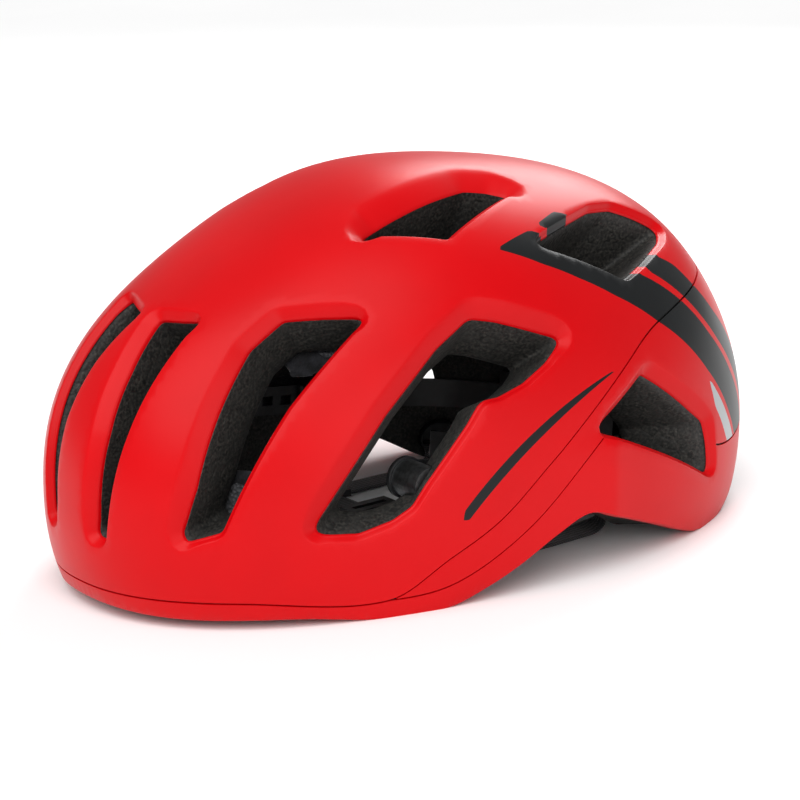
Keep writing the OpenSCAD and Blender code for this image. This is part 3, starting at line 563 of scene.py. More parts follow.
def moulded_plastic(name, colour, rough, grain_mm=0.9, worn="3A3A3C"):
    """Injection-moulded nylon: spark-eroded grain, slightly paler where it is handled."""
    m, tree, shader = material(name)
    place = place_of(tree)
    tree.links.new(mottled(tree, place, 9, colour, worn, contrast=(0.45, 0.95)), shader.inputs["Base Color"])
    tree.links.new(varied(tree, place, 6, rough - 0.05, rough + 0.08), shader.inputs["Roughness"])
    shader.inputs["IOR"].default_value = 1.53
    grain = add(tree, "ShaderNodeTexNoise", values={"Scale": 1 / (grain_mm * MM), "Detail": 3.0},
                links={"Vector": place})
    tree.links.new(bumped(tree, grain.outputs["Fac"], 0.35, 0.08), shader.inputs["Normal"])
    return m


def plated_steel():
    """Zinc-plated steel: a metal with fine turning marks."""
    m, tree, shader = material("plated_steel")
    place = place_of(tree)
    tree.links.new(mottled(tree, place, 2, "8E9092", "B4B6B8"), shader.inputs["Base Color"])
    shader.inputs["Metallic"].default_value = 1.0
    tree.links.new(varied(tree, place, 0.8, 0.25, 0.42), shader.inputs["Roughness"])
    return m


def knit_fabric(name, low, high):
    """Brushed polyester knit: loops 1.2 mm apart, soft and without gloss."""
    m, tree, shader = material(name)
    place = place_of(tree)
    tree.links.new(mottled(tree, place, 4, low, high), shader.inputs["Base Color"])
    shader.inputs["Roughness"].default_value = 0.95
    shader.inputs["Specular IOR Level"].default_value = 0.2
    shader.inputs["Sheen Weight"].default_value = 0.35
    shader.inputs["Sheen Roughness"].default_value = 0.5
    loops = add(tree, "ShaderNodeTexVoronoi", {"feature": "F1"}, {"Scale": 1 / (1.2 * MM)}, {"Vector": place})
    tree.links.new(bumped(tree, loops.outputs["Distance"], 0.7, 0.35), shader.inputs["Normal"])
    return m


def hook_tape():
    """Hook fastener: a dense field of stiff nylon hooks, 1.3 mm apart."""
    m, tree, shader = material("hook_tape")
    place = place_of(tree)
    hooks = add(tree, "ShaderNodeTexVoronoi", {"feature": "F1"}, {"Scale": 1 / (1.3 * MM)}, {"Vector": place})
    ramp = add(tree, "ShaderNodeValToRGB", links={"Fac": hooks.outputs["Distance"]})
    ramp.color_ramp.elements[0].color, ramp.color_ramp.elements[1].color = linear("55565A"), linear("1A1A1C")
    tree.links.new(ramp.outputs["Color"], shader.inputs["Base Color"])
    shader.inputs["Roughness"].default_value = 0.6
    tree.links.new(bumped(tree, hooks.outputs["Distance"], 0.8, 0.6), shader.inputs["Normal"])
    return m


def woven_webbing():
    """Woven polyester webbing on its own UV map in millimetres: ribs 2 mm apart along the strap, crossed by
    weft every 1.1 mm. A wave's scale is 0.314 over its period."""
    m, tree, shader = material("woven_webbing")
    uv = add(tree, "ShaderNodeUVMap", {"uv_map": "weave"}).outputs["UV"]
    ribs = add(tree, "ShaderNodeTexWave", {"bands_direction": "X"}, {"Scale": 0.157, "Distortion": 0.3},
               {"Vector": uv})
    weft = add(tree, "ShaderNodeTexWave", {"bands_direction": "Y"}, {"Scale": 0.285, "Distortion": 0.6},
               {"Vector": uv})
    both = add(tree, "ShaderNodeMath", {"operation": "MULTIPLY"},
               links={0: ribs.outputs["Fac"], 1: weft.outputs["Fac"]})
    # the colour follows the weave's height: painted shade in the hollows and a painted highlight on the crests
    ramp = add(tree, "ShaderNodeValToRGB", links={"Fac": both.outputs[0]})
    ramp.color_ramp.elements[0].color, ramp.color_ramp.elements[1].color = linear("101012"), linear("2E2E32")
    tree.links.new(ramp.outputs["Color"], shader.inputs["Base Color"])
    shader.inputs["Roughness"].default_value = 0.8
    shader.inputs["Sheen Weight"].default_value = 0.25
    tree.links.new(bumped(tree, both.outputs[0], 0.8, 0.35), shader.inputs["Normal"])
    return m


def white_floor():
    """Matt white studio board."""
    m, tree, shader = material("studio_board")
    place = place_of(tree)
    tree.links.new(mottled(tree, place, 400, "FAFAFA", "FDFDFD"), shader.inputs["Base Color"])
    shader.inputs["Roughness"].default_value = 0.9
    return m


MATERIALS = {}


def finish(name):
    """The finish of that name, made the first time it is asked for."""
    colours = bpy.context.scene.helmet_colours
    makers = {
        "shell_red": lambda: painted_polycarbonate("shell_red", colours.shell, colours.shell_deep, 0.36),
        "stripe_black": lambda: painted_polycarbonate("stripe_black", colours.stripe, "151617", 0.34),
        "reflector": lambda: painted_polycarbonate("reflector", "B4B8BA", "9DA1A4", 0.3),
        "bead_foam": bead_foam,
        "nylon": lambda: moulded_plastic("nylon", "161617", 0.45),
        "belt_nylon": lambda: moulded_plastic("belt_nylon", "1E1E20", 0.38, 1.4),
        "grip_rubber": lambda: moulded_plastic("grip_rubber", "1B1B1C", 0.7, 0.7, "2C2C2E"),
        "acetal": lambda: moulded_plastic("acetal", "C9C7BE", 0.35, 1.6, "DAD8D0"),
        "plated_steel": plated_steel,
        "knit": lambda: knit_fabric("knit", "121214", "26262A"),
        "hook_tape": hook_tape,
        "woven_webbing": woven_webbing,
    }
    if name not in MATERIALS:
        MATERIALS[name] = makers[name]()
    return MATERIALS[name]


# ---- settings ----

class HelmetSizes(bpy.types.PropertyGroup):
    chamfer_width: bpy.props.FloatProperty(
        name="Chamfer width", description="Width of the chamfer round each vent", default=4.4 * MM,
        min=2 * MM, max=6 * MM, unit="LENGTH")
    chamfer_depth: bpy.props.FloatProperty(
        name="Chamfer depth", description="Depth of the chamfer at the vent's edge", default=3.2 * MM,
        min=1 * MM, max=5 * MM, unit="LENGTH")
    skin: bpy.props.FloatProperty(
        name="Skin thickness", description="Thickness of the moulded skins", default=1.0 * MM,
        min=0.4 * MM, max=1.5 * MM, unit="LENGTH")
    net: bpy.props.FloatProperty(
        name="Net spacing", description="Spacing of the surface net on the chart, in degrees of arc",
        default=1.5, min=1.0, max=4.0)


class HelmetColours(bpy.types.PropertyGroup):
    shell: bpy.props.StringProperty(name="Shell", description="sRGB hex value of the paint", default="C80008")
    shell_deep: bpy.props.StringProperty(
        name="Shell, deeper", description="sRGB hex value where the paint is a little thicker",
        default="C00007")
    stripe: bpy.props.StringProperty(name="Stripe", description="sRGB hex value of the print", default="1C1E1F")


def side_flash():
    """Outline of the plain tapered bar on the side: a bowed line between two chart points whose half width
    grows as the square root from the lower end and falls away towards the upper one."""
    start, end, bow, half = np.array([86.8, -26.5]), np.array([60.6, 27.0]), 1.6, 1.25
    u = np.linspace(0, 1, 40)[:, None]
    along = (end - start) / np.linalg.norm(end - start)
    side = np.array([-along[1], along[0]])
    middle = start + (end - start) * u - side * bow * 4 * u * (1 - u)
    width = half * (1 - u**2.2) * np.minimum(1, u / 0.02) ** 0.5 + 0.12
    return np.vstack([middle + side * width, (middle - side * width)[::-1]])


BLACK_SHAPES = (BROAD_STRIPE, BROAD_TAB, NARROW_STRIPE, side_flash())


def printed(q):
    """The material number of chart points: 0 paint, 1 stripe, 2 reflector."""
    m = np.zeros(len(q), int)
    folded = np.stack([np.abs(q[:, 0]), q[:, 1]], -1)
    for shape in BLACK_SHAPES:
        m[inside(folded, np.array(shape, float))] = 1
    m[inside(folded, np.array(REFLECTOR, float))] = 2
    return m


def skin_layers(sizes):
    """The three skins on one net: the chart is cut at the parting lines, the vents and the print."""
    gap = PART_HALF
    width, depth = sizes.chamfer_width / MM, sizes.chamfer_depth / MM
    creases = [to_chart(v.at_offset(width * v.wide)) for v in VENT_LIST]
    seams = [line_on_chart(upper_line, -gap), line_on_chart(upper_line, gap), line_on_chart(lower_line, -gap),
             line_on_chart(lower_line, gap), line_on_chart(rim_line)]
    prints = []
    for shape in (*BLACK_SHAPES, REFLECTOR):
        for side in (1, -1):
            prints.append(rounded(np.array(shape, float) * (side, 1), 0.4, 1.1))
    points = hexagons(NET_LIMIT, sizes.net)
    flat, tris = triangulated(points, creases + seams + prints, 0.62 * sizes.net)
    middle = flat[tris].mean(1)
    free = np.ones(len(tris), bool)
    for loop in creases:
        free &= ~inside(middle, loop)
    azimuth, angle = bearing(middle)
    upper, lower, rim = upper_line(azimuth), lower_line(azimuth), rim_line(azimuth)
    place = skin_point(from_chart(flat))
    bands = {
        "skin_upper": angle < upper - gap,
        "skin_rear": (angle > upper + gap) & (angle < lower - gap),
        "skin_lower": (angle > lower + gap) & (angle < rim),
    }
    marks = printed(middle)
    layers = {}
    for name, band in bands.items():
        chosen = free & band
        used, again = np.unique(tris[chosen], return_inverse=True)
        patch = Patch()
        patch.add(place[used], again.reshape(-1, 3), 0 if name == "skin_lower" else marks[chosen])
        layers[name] = patch
    for vent in VENT_LIST:
        rows, charts = chamfer_strip(vent, width, depth)
        quads = grid_faces(len(rows), len(vent.loop))
        q = charts.reshape(-1, 2)[quads].mean(1)
        azimuth, angle = bearing(q)
        # the print follows the chamfer's crease line, so that it stays in line across it
        mark = printed(q)
        over = angle < upper_line(azimuth)
        under = angle > lower_line(azimuth)
        for name, band in (("skin_upper", over), ("skin_rear", ~over & ~under), ("skin_lower", under)):
            if band.any():
                layers[name].add(rows.reshape(-1, 3), quads[band], 0 if name == "skin_lower" else mark[band])
    return layers


def rim_fold():
    """The lower skin's hem: it rolls over the rim and runs inwards under the foam."""
    d = unit(AROUND, rim_line(AROUND))
    rows = []
    for run, drop in ((0, 0), (0.5, 0.45), (1.4, 0.6), (3, 0.5), (5, 0.2), (7, 0), (7.2, -0.8)):
        p = outer(d, -run) if run else skin_point(d)
        level = skin_point(d)[..., 2]
        p[..., 2] = np.maximum(level - drop, TABLE_CLEAR)
        rows.append(p)
    return np.array(rows)


def bake(obj):
    """Replaces an object's mesh by what its modifiers make of it."""
    dg = bpy.context.evaluated_depsgraph_get()
    me = bpy.data.meshes.new_from_object(obj.evaluated_get(dg))
    old, name = obj.data, obj.data.name
    obj.modifiers.clear()
    obj.data = me
    bpy.data.meshes.remove(old)
    me.name = name


def thicken(obj, thickness):
    """Gives a skin its wall, inwards."""
    solid = obj.modifiers.new("wall", "SOLIDIFY")
    solid.thickness, solid.offset = thickness, -1.0
    bake(obj)
    obj.data.set_sharp_from_angle(angle=math.radians(38))


def outward(obj):
    """Turns an open skin's faces away from the middle point."""
    me = obj.data
    n = np.zeros(len(me.polygons) * 3)
    c = np.zeros(len(me.polygons) * 3)
    me.polygons.foreach_get("normal", n)
    me.polygons.foreach_get("center", c)
    middle = at(np.array([[0, 0, 1.0]]), np.array([0.0]))[0] * MM
    area = np.zeros(len(me.polygons))
    me.polygons.foreach_get("area", area)
    if np.sum(np.sum(n.reshape(-1, 3) * (c.reshape(-1, 3) - middle), 1) * area) < 0:
        me.flip_normals()


class HELMET_OT_skins(bpy.types.Operator):
    """Moulded skins: upper, rear and lower, with chamfered vents, parting lines and printed stripes"""
    bl_idname = "helmet.skins"
    bl_label = "Skins"

    def execute(self, context):
        sizes = context.scene.helmet_sizes
        finishes = [finish("shell_red"), finish("stripe_black"), finish("reflector")]
        layers = skin_layers(sizes)
        fold = rim_fold()
        layers["skin_lower"].add(fold.reshape(-1, 3), grid_faces(len(fold), len(AROUND)), 0)
        nodes = {"skin_upper": "upper_shell", "skin_rear": "rear_shell", "skin_lower": "lower_shell"}
        for name, patch in layers.items():
            obj = build(name, patch, finishes, weld=0.03, sharp=60)
            outward(obj)
            thicken(obj, sizes.skin)
            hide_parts(nodes[name])
            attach(obj, "shell")
        return {"FINISHED"}


class HELMET_OT_foam(bpy.types.Operator):
    """Bead-foam liner: outer and inner surface, vents with rounded inner edges and the underside"""
    bl_idname = "helmet.foam"
    bl_label = "Foam liner"

    def execute(self, context):
        sizes = context.scene.helmet_sizes
        width, depth = sizes.chamfer_width / MM, sizes.chamfer_depth / MM
        patch = Patch()
        points = hexagons(NET_LIMIT, FOAM_NET)
        limit = line_on_chart(rim_line, -FOAM_INSET)
        creases = [to_chart(v.at_offset(width * v.wide)) for v in VENT_LIST]
        flat, tris = triangulated(points, creases + [limit], 1.3)
        middle = flat[tris].mean(1)
        azimuth, angle = bearing(middle)
        free = angle < rim_line(azimuth) - FOAM_INSET
        for loop in creases:
            free &= ~inside(middle, loop)
        patch.add(outer(from_chart(flat), -UNDER_SKIN), tris[free])
        # the cavity's wall, down to where it meets the underside
        edge = outer(unit(AROUND, rim_line(AROUND) - FOAM_INSET), -UNDER_SKIN)
        low = outer(unit(AROUND, rim_line(AROUND)))[:, 2] + UNDERSIDE_RISE
        level = unit(AROUND, 90.0 + 0 * AROUND)
        foot = np.degrees(np.arctan2(hollow(level), (low - inner(level)[:, 2]) / math.cos(TILT)))
        t = np.radians(AROUND)
        base = np.stack([foot * np.sin(t), -foot * np.cos(t)], -1)
        fans = [to_chart(v.directions(v.loop * INNER_SHARE + v.out * 2.0)) for v in VENT_LIST]
        flat, tris = triangulated(points, fans + [base], 1.3)
        middle = flat[tris].mean(1)
        free = inside(middle, base)
        for loop in fans:
            free &= ~inside(middle, loop)
        patch.add(inner(from_chart(flat)), tris[free][:, ::-1])
        for v in VENT_LIST:
            rows, _ = chamfer_strip(v, width, depth, UNDER_SKIN)
            rows = list(rows[:8])
            start = outer(v.at_offset(-0.9 + 0 * v.wide), -depth - UNDER_SKIN - 0.3)
            rows.append(start)
            neck = v.directions(v.loop * INNER_SHARE - v.out * 0.9)
            end = inner(neck, 5)
            for u in np.linspace(0.15, 1, 6):
                rows.append(start + (end - start) * u)
            for out, up in ((-0.7, 2.6), (-0.1, 1.1), (0.8, 0.3), (2.0, 0.0)):
                rows.append(inner(v.directions(v.loop * INNER_SHARE + v.out * out), up))
            rows = np.array(rows)
            patch.add(rows.reshape(-1, 3), grid_faces(len(rows), len(v.loop)))
        foot_points = inner(unit(AROUND, foot))
        shoulder = edge * 0.97 + foot_points * 0.03
        shoulder[:, 2] = (edge[:, 2] * 0.3 + low * 0.7) * 0.97 + foot_points[:, 2] * 0.03
        middle_line = (edge + foot_points) / 2
        middle_line[:, 2] = low
        strip = np.array([edge, shoulder, middle_line, foot_points])
        patch.add(strip.reshape(-1, 3), grid_faces(len(strip), len(AROUND)))
        obj = build("foam", patch, [finish("bead_foam")], weld=0.03, sharp=50)
        pockets(obj)
        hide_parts("foam_liner")
        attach(obj, "shell")
        return {"FINISHED"}


def cut(obj, tool):
    """Takes the tool's space out of a closed piece, exactly, and drops the tool."""
    step = obj.modifiers.new("pocket", "BOOLEAN")
    step.operation, step.solver, step.object = "DIFFERENCE", "EXACT", tool
    bake(obj)
    old = tool.data
    bpy.data.objects.remove(tool)
    bpy.data.meshes.remove(old)


def carried(name, sections, materials, sharp=35):
    """A closed piece from a stack of equal closed sections, joined by quads, with fans over its ends."""
    s = np.asarray(sections, float)
    patch = Patch()
    patch.add(s.reshape(-1, 3), grid_faces(s.shape[0], s.shape[1]))
    n = s.shape[1]
    i = np.arange(n)
    for ring in (s[0], s[-1]):
        patch.add(np.vstack([ring, ring.mean(0)]), np.stack([i, (i + 1) % n, np.full(n, n)], -1))
    return build(name, patch, materials, weld=0.002, sharp=sharp)


def drum(name, start, axis, radius, length, around=48):
    """A plain cylinder from a point along an axis, in millimetres, used as a cutting tool."""
    axis = np.array(axis, float) / np.linalg.norm(axis)
    e1 = np.cross(axis, [0, 0, 1] if abs(axis[2]) < 0.9 else [1, 0, 0])
    e1 /= np.linalg.norm(e1)
    e2 = np.cross(axis, e1)
    t = np.linspace(0, 2 * math.pi, around, endpoint=False)[:, None]
    ring = radius * (np.cos(t) * e1 + np.sin(t) * e2)
    return carried(name, [ring + np.array(start), ring + np.array(start) + axis * length], [])


FRONT_ANCHOR, FRONT_TURN = (68, -68.5, 24.4), -24     # strap anchors: place and bearing into the foam
REAR_ANCHOR, REAR_TURN = (59, 61.5, 12), 30
ANCHOR_RADIUS = 8.3


def pockets(obj):
    """Sockets in the foam for the strap anchors and the temple pins, and the slot of the height slider."""
    for side in (1, -1):
        for place, turn in ((FRONT_ANCHOR, FRONT_TURN), (REAR_ANCHOR, REAR_TURN)):
            a = math.radians(turn)
            axis = np.array([side * math.cos(a), math.sin(a), 0])
            start = np.array([side * place[0], place[1], place[2]]) - 8 * axis
            cut(obj, drum("tool", start, axis, ANCHOR_RADIUS, 15.3))
        cut(obj, drum("tool", (side * 60, PIN[1], PIN[2]), (side, 0, 0), 7.3, 25.5))
    c, s = math.cos(math.radians(21)), math.sin(math.radians(21))
    y, z = np.array([118, 137, 137, 118]), np.array([-30, -30, 30, 30])
    ring = np.stack([0 * y, y * c - z * s + PIN[1], y * s + z * c + PIN[2]], -1)
    cut(obj, carried("tool", [ring + [-12.3, 0, 0], ring + [12.3, 0, 0]], []))


# ---- pads ----

def pad_path(kind):
    """Middle line of a pad on the chart, its half width and its thickness."""
    if kind == "brow":
        t = np.radians(np.linspace(-36, 36, 61))
        return np.stack([88 * np.sin(t), -88 * np.cos(t)], -1), 7, 5
    if kind == "crown_middle":
        y = np.linspace(-62, 50, 61)
        return np.stack([0 * y, y], -1), 7, 5
    if kind == "crown_side":
        y = np.linspace(-50, 38, 49)
        return np.stack([40 - 0.006 * y * y, y], -1), 7, 5
    t = np.radians(np.linspace(78, 108, 33))
    return np.stack([84 * np.sin(t), -84 * np.cos(t)], -1), 6, 4


def wall_pad(name, kind, side):
    """A padded strip on the cavity's wall: its section is a flat back, a thin welded hem and a crown that
    follows the fourth root of a circle; its ends are round, and sewn channels cross it."""
    path, half, thick = pad_path(kind)
    path = path * (side, 1)
    n = len(path)
    u = np.linspace(0, 1, n)
    along = np.concatenate([[0], np.cumsum(np.linalg.norm(np.diff(path, axis=0), axis=1))]) * 1.5
    end = np.minimum(np.minimum(along, along[-1] - along) / (half + 0.5), 1)
    wide = half * np.sqrt(np.clip(1 - (1 - end) ** 2, 0.0004, 1))
    d = np.gradient(path, axis=0)
    s = np.stack([-d[:, 1], d[:, 0]], -1) / np.linalg.norm(d, axis=1)[:, None]
    cells = 24
    v = np.concatenate([np.linspace(-1, 1, cells), np.linspace(1, -1, cells)])
    front = np.concatenate([np.zeros(cells), np.ones(cells)])
    q = path[:, None] + s[:, None] * (wide[:, None] * v)[..., None]
    hem = 0.14
    crown = np.clip(1 - (np.abs(v) / (1 - hem)) ** 3, 0, 1) ** 0.5
    taper = np.clip(1 - (1 - end) ** 3, 0, 1) ** 0.5
    channels = 1 - 0.28 * np.exp(-((np.mod(along, 22) - 11) / 1.3) ** 2) * (along > 8) * (along < along[-1] - 8)
    rise = 0.9 + (thick - 1.1) * crown[None] * (taper * channels)[:, None]
    back = 1.5
    off = back + front[None] * rise
    return carried(name, inner(from_chart(q), -off), [finish("knit")], sharp=80)


PADS = [("brow_pad", "brow", 1), ("crown_pad_middle", "crown_middle", 1),
        ("crown_pad_left", "crown_side", 1), ("crown_pad_right", "crown_side", -1),
        ("temple_pad_left", "temple", 1), ("temple_pad_right", "temple", -1)]


def stuffed(obj, cap):
    """Fills a pad: voxel remesh, cloth with inner pressure and no gravity over 20 frames, movement capped
    in millimetres, then one subdivision."""
    scene = bpy.context.scene
    remesh = obj.modifiers.new("net", "REMESH")
    remesh.mode, remesh.voxel_size = "VOXEL", 1.3 * MM
    bake(obj)
    n = len(obj.data.vertices)
    rest = np.zeros(n * 3)
    obj.data.vertices.foreach_get("co", rest)
    cloth = obj.modifiers.new("cloth", "CLOTH")
    cloth.settings.use_pressure = True
    cloth.settings.uniform_pressure_force = 4
    cloth.settings.effector_weights.gravity = 0
    cloth.settings.quality = 4
    cloth.collision_settings.use_collision = False
    cloth.point_cache.frame_start, cloth.point_cache.frame_end = 1, 20
    for f in range(1, 21):
        scene.frame_set(f)
    dg = bpy.context.evaluated_depsgraph_get()
    swollen = obj.evaluated_get(dg).to_mesh()
    moved = np.zeros(n * 3)
    swollen.vertices.foreach_get("co", moved)
    obj.evaluated_get(dg).to_mesh_clear()
    obj.modifiers.clear()
    step = (moved - rest).reshape(-1, 3)
    far = np.linalg.norm(step, axis=1)
    step *= np.minimum(1, cap * MM / np.maximum(far, 1e-12))[:, None]
    obj.data.vertices.foreach_set("co", (rest.reshape(-1, 3) + step).ravel())
    scene.frame_set(1)
    smooth = obj.modifiers.new("soft", "SUBSURF")
    smooth.levels = smooth.render_levels = 1
    bake(obj)
    obj.data.polygons.foreach_set("use_smooth", np.ones(len(obj.data.polygons), bool))


def covered(obj, node, body, cap):
    """Fills a pad, gives it its cloth and lets it stand for its node on a body."""
    stuffed(obj, cap)
    obj.data.materials.clear()
    obj.data.materials.append(finish("knit"))
    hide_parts(node)
    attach(obj, body)


def cradle_pad(name, side):
    """A bar bent round the cradle's inner face: its section is a squared ellipse, and its height follows a
    power of a sine, so that the ends are blunt and closed."""
    start, end = (37, 77) if side > 0 else (143, 103)
    t = np.radians(np.linspace(start, end, 41))
    a = np.linspace(0, 2 * math.pi, 28, endpoint=False)
    ease = np.clip(np.sin(np.linspace(0, math.pi, 41)), 0.0, 1) ** 0.28
    ease = np.maximum(ease, 0.05)[:, None]
    r = 49.9 + 2.6 * ease * np.sign(np.cos(a)) * np.abs(np.cos(a)) ** 0.7
    z = -18.5 + 4.2 * ease * np.sign(np.sin(a)) * np.abs(np.sin(a)) ** 0.7
    p = np.stack([r * np.cos(t)[:, None], 68 + r * np.sin(t)[:, None], z + 0 * r], -1)
    return carried(name, fit_axes(p), [finish("knit")], sharp=80)


class HELMET_OT_pads(bpy.types.Operator):
    """Fabric-covered pads on the cavity's wall and on the cradle"""
    bl_idname = "helmet.pads"
    bl_label = "Pads"

    def execute(self, context):
        for name, kind, side in PADS:
            covered(wall_pad(name + "_cloth", kind, side), name, "shell", 0.5)
        for name, side in (("cradle_pad_left", 1), ("cradle_pad_right", -1)):
            covered(cradle_pad(name + "_cloth", side), name, "cradle", 0.3)
        return {"FINISHED"}


# ---- harness ----

WEB_WIDTH = 14
WEB_THICKNESS = 1.2
# Routes of the left half: x, y, z of the middle and the bearing of the width, in degrees
FRONT_WEB = [(64.5, -67, 19, 66), (64, -66.5, 12, 60), (63.5, -64.5, 5, 45), (62.5, -59.5, 1.9, 25),
             (61, -51.5, 1.1, 10), (58.5, -40.5, 1.1, 8), (57, -28.5, 1.1, 3), (56, -16.5, 1.1, 0)]
REAR_WEB = [(54.5, 59, 9.5, -60), (54.3, 58, 6, -45), (54.5, 55, 3, -20), (55, 49.5, 1.3, -5),
            (55.5, 41.5, 1.1, 0), (56, 29.5, 1.1, 0), (56, 18.5, 1.1, 0), (56, 7.5, 1.1, 0)]
BUCKLE_Y = -4.5
CHIN_RISE = 1.1         # the chin webbing's middle lies this far above the table
CHIN_SPANS = ((1, "left", 47.8, 27.2), (-1, "right", -47.8, -14))     # from its divider to the buckle


def smooth_route(points, n):
    """Catmull-Rom curve through the points, n steps to each span."""
    p = np.array(points, float)
    p = np.vstack([p[:1], p, p[-1:]])
    u = (np.arange(n) / n)[:, None]
    spans = []
    for i in range(1, len(p) - 2):
        a, b, c, d = p[i - 1], p[i], p[i + 1], p[i + 2]
        spans.append(0.5 * (2 * b + (c - a) * u + (2 * a - 5 * b + 4 * c - d) * u**2
                            + (3 * b - a - 3 * c + d) * u**3))
    return np.vstack(spans + [p[-1:]])


def ribbon(name, route, materials):
    """Flat webbing carried along a route: a section with rolled edges, and the weave's own UV map in
    millimetres across and along."""
    c, bearing_of = route[:, :3], np.radians(route[:, 3])
    t = np.gradient(c, axis=0)
    t /= np.linalg.norm(t, axis=1)[:, None]
    w = np.stack([np.cos(bearing_of), np.sin(bearing_of), 0 * bearing_of], -1)
    w -= np.sum(w * t, 1)[:, None] * t
    w /= np.linalg.norm(w, axis=1)[:, None]
    up = np.cross(t, w)
    a = np.linspace(0, 2 * math.pi, 36, endpoint=False)
    x = WEB_WIDTH / 2 * np.sign(np.cos(a)) * np.abs(np.cos(a)) ** 0.35
    z = WEB_THICKNESS / 2 * np.sign(np.sin(a)) * np.abs(np.sin(a)) ** 0.55 * (1 - 0.25 * np.abs(x / 7) ** 8)
    rings = c[:, None] + w[:, None] * x[None, :, None] + up[:, None] * z[None, :, None]
    rings[..., 2] = np.maximum(rings[..., 2], 0.45)
    obj = carried(name, rings, materials, sharp=70)
    me = obj.data
    co = np.zeros(len(me.vertices) * 3)
    me.vertices.foreach_get("co", co)
    co = co.reshape(-1, 3) / MM
    along = np.concatenate([[0], np.cumsum(np.linalg.norm(np.diff(c, axis=0), axis=1))])
    near = np.argmin(np.linalg.norm(co[:, None] - c[None], axis=-1), 1)
    across = np.sum((co - c[near]) * w[near], 1)
    run = along[near] + np.sum((co - c[near]) * t[near], 1)
    index = np.zeros(len(me.loops), int)
    me.loops.foreach_get("vertex_index", index)
    layer = me.uv_layers.new(name="weave")
    layer.data.foreach_set("uv", np.stack([across, run], -1)[index].ravel())
    return obj, float(along[-1])


def laid(name, node, route):
    """Webbing along a route, which stands for its node."""
    obj, length = ribbon(name, route, [finish("woven_webbing")])
    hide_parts(node)
    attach(obj, "shell")


class HELMET_OT_harness(bpy.types.Operator):
    """Webbing of the harness, laid inside the rim"""
    bl_idname = "helmet.harness"
    bl_label = "Harness webbing"

    def execute(self, context):
        for side, hand, start, stop in CHIN_SPANS:
            for end, keys in (("front", FRONT_WEB), ("rear", REAR_WEB)):
                route = smooth_route(keys, 12) * [side, 1, 1, 1]
                if side < 0:
                    route[:, 3] = 180 - route[:, 3]
                laid(f"web_{end}_{hand}", f"webbing_{end}_{hand}", route)
            x = np.linspace(start, stop, 25)
            route = np.stack([x, 0 * x + BUCKLE_Y, 0 * x + CHIN_RISE, 0 * x + 90], -1)
            laid(f"web_chin_{hand}", f"chin_webbing_{hand}", route)
        return {"FINISHED"}


# ---- finishes of the frame's own parts ----

NODE_FINISHES = {
    "hook_dots": "hook_tape", "dial_pinion": "acetal", "rack_left": "acetal", "rack_right": "acetal",
    "temple_pin_left": "plated_steel", "temple_pin_right": "plated_steel", "cover_screws": "plated_steel",
    "dial_screw": "plated_steel", "height_pin": "plated_steel", "fit_belt_left": "belt_nylon",
    "fit_belt_right": "belt_nylon", "height_strap": "belt_nylon", "dial_knob": "grip_rubber",
    "strap_keeper": "grip_rubber",
}
SOFT_NODES = ("shell", "foam_liner", "pad", "webbing")


class HELMET_OT_fittings(bpy.types.Operator):
    """Finishes of the moulded and metal parts of the fit system and the buckle"""
    bl_idname = "helmet.fittings"
    bl_label = "Fit system and buckle"

    def execute(self, context):
        for name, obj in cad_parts.items():
            if any(word in name for word in SOFT_NODES):
                continue
            m = finish(NODE_FINISHES.get(name, "nylon"))
            if not obj.material_slots:
                obj.data.materials.append(None)
            for s in obj.material_slots:
                s.link = "OBJECT"
                s.material = m
        return {"FINISHED"}


# ---- stage ----

AIM = (0, 0, 72.75)        # point on the helmet's own axis that the camera looks at, before it is stood up
AZIMUTH, ELEVATION, DISTANCE = 55, 13, 1067


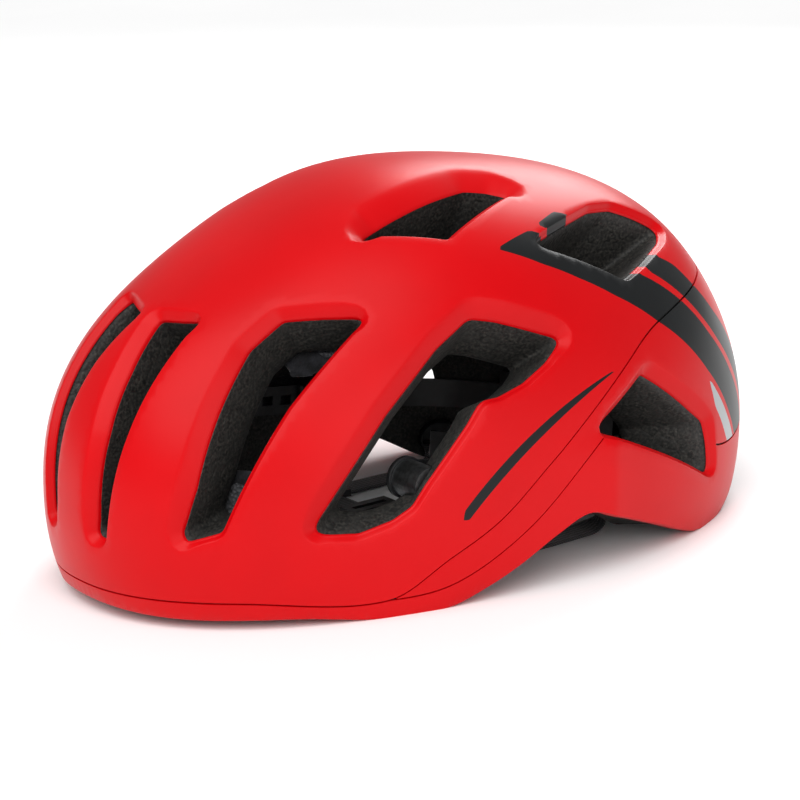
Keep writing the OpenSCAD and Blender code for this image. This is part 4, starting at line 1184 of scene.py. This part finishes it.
class HELMET_OT_stage(bpy.types.Operator):
    """Studio: white floor, soft light and the camera"""
    bl_idname = "helmet.stage"
    bl_label = "Stage"

    def execute(self, context):
        scene = context.scene
        a, e = math.radians(AZIMUTH), math.radians(ELEVATION)
        back = np.array([math.sin(a) * math.cos(e), -math.cos(a) * math.cos(e), math.sin(e)])
        right = np.array([math.cos(a), math.sin(a), 0])
        place = stand(np.array(AIM) + back * DISTANCE)
        zero = stand(np.zeros(3))
        turned = [stand(v) - zero for v in (right, np.cross(back, right), back)]
        cam = bpy.data.objects.new("camera", bpy.data.cameras.new("camera"))
        scene.collection.objects.link(cam)
        cam.data.sensor_width = 36
        cam.data.lens = 120.8
        cam.data.shift_x, cam.data.shift_y = 0.0256, -0.0276
        cam.data.clip_start, cam.data.clip_end = 0.05, 20
        turn = Matrix(np.array(turned).T.tolist()).to_4x4()
        cam.matrix_world = Matrix.Translation(Vector(place * MM)) @ turn
        scene.camera = cam

        t = np.linspace(0, 2 * math.pi, 96, endpoint=False)
        ring = np.stack([np.cos(t), np.sin(t), 0 * t], -1)
        patch = Patch()
        radii = np.array([1.0, 400, 2000, 9000])[:, None, None]
        patch.add((ring[None] * radii).reshape(-1, 3), grid_faces(4, 96))
        patch.add(np.vstack([ring, [[0, 0, 0]]]),
                  np.stack([np.arange(96), (np.arange(96) + 1) % 96, np.full(96, 96)], -1))
        floor = build("floor", patch, [white_floor()])
        if floor.data.polygons[0].normal.z < 0:
            floor.data.flip_normals()

        world = bpy.data.worlds.new("studio")
        scene.world = world
        world.use_nodes = True
        sky = world.node_tree
        seen = add(sky, "ShaderNodeLightPath").outputs["Is Camera Ray"]
        glow = add(sky, "ShaderNodeMapRange", values={"To Min": 0.3, "To Max": 1.0}, links={"Value": seen})
        sky.links.new(glow.outputs["Result"], sky.nodes["Background"].inputs[1])
        sky.nodes["Background"].inputs[0].default_value = (1, 1, 1, 1)
        for name, kind, where, size, power in (
                ("key", "SUN", (0.4, -0.7, 1.1), math.radians(70), 2.9),
                ("side", "AREA", (1.25, -0.1, 0.4), 0.8, 3.5),
                ("rim", "AREA", (-0.55, 0.85, 0.75), 0.7, 9)):
            light = bpy.data.objects.new(name, bpy.data.lights.new(name, kind))
            scene.collection.objects.link(light)
            if kind == "SUN":
                light.data.angle = size
            else:
                light.data.shape, light.data.size = "DISK", size
            light.data.energy = power
            light.location = where
            light.rotation_euler = (Vector((0, 0, 0.07)) - Vector(where)).to_track_quat("-Z", "Y").to_euler()
        scene.view_settings.view_transform = "Standard"
        return {"FINISHED"}


class HELMET_PT_panel(bpy.types.Panel):
    """Shows the helmet's sizes and colours, and a button for each building step"""
    bl_label = "Helmet"
    bl_idname = "HELMET_PT_panel"
    bl_space_type = "VIEW_3D"
    bl_region_type = "UI"
    bl_category = "Helmet"

    def draw(self, context):
        for group in (context.scene.helmet_sizes, context.scene.helmet_colours):
            for key in group.bl_rna.properties.keys():
                if key not in ("rna_type", "name"):
                    self.layout.prop(group, key)
        for step in STEPS:
            self.layout.operator(step.bl_idname)


STEPS = (HELMET_OT_stage, HELMET_OT_skins, HELMET_OT_foam, HELMET_OT_pads, HELMET_OT_harness,
         HELMET_OT_fittings)


def register():
    for c in (HelmetSizes, HelmetColours, *STEPS, HELMET_PT_panel):
        bpy.utils.register_class(c)
    bpy.types.Scene.helmet_sizes = bpy.props.PointerProperty(type=HelmetSizes)
    bpy.types.Scene.helmet_colours = bpy.props.PointerProperty(type=HelmetColours)


def unregister():
    del bpy.types.Scene.helmet_colours
    del bpy.types.Scene.helmet_sizes
    for c in reversed((HelmetSizes, HelmetColours, *STEPS, HELMET_PT_panel)):
        bpy.utils.unregister_class(c)


def main():
    register()
    for step in STEPS:
        group, action = step.bl_idname.split(".")
        getattr(getattr(bpy.ops, group), action)()


if __name__ == "__main__":
    main()
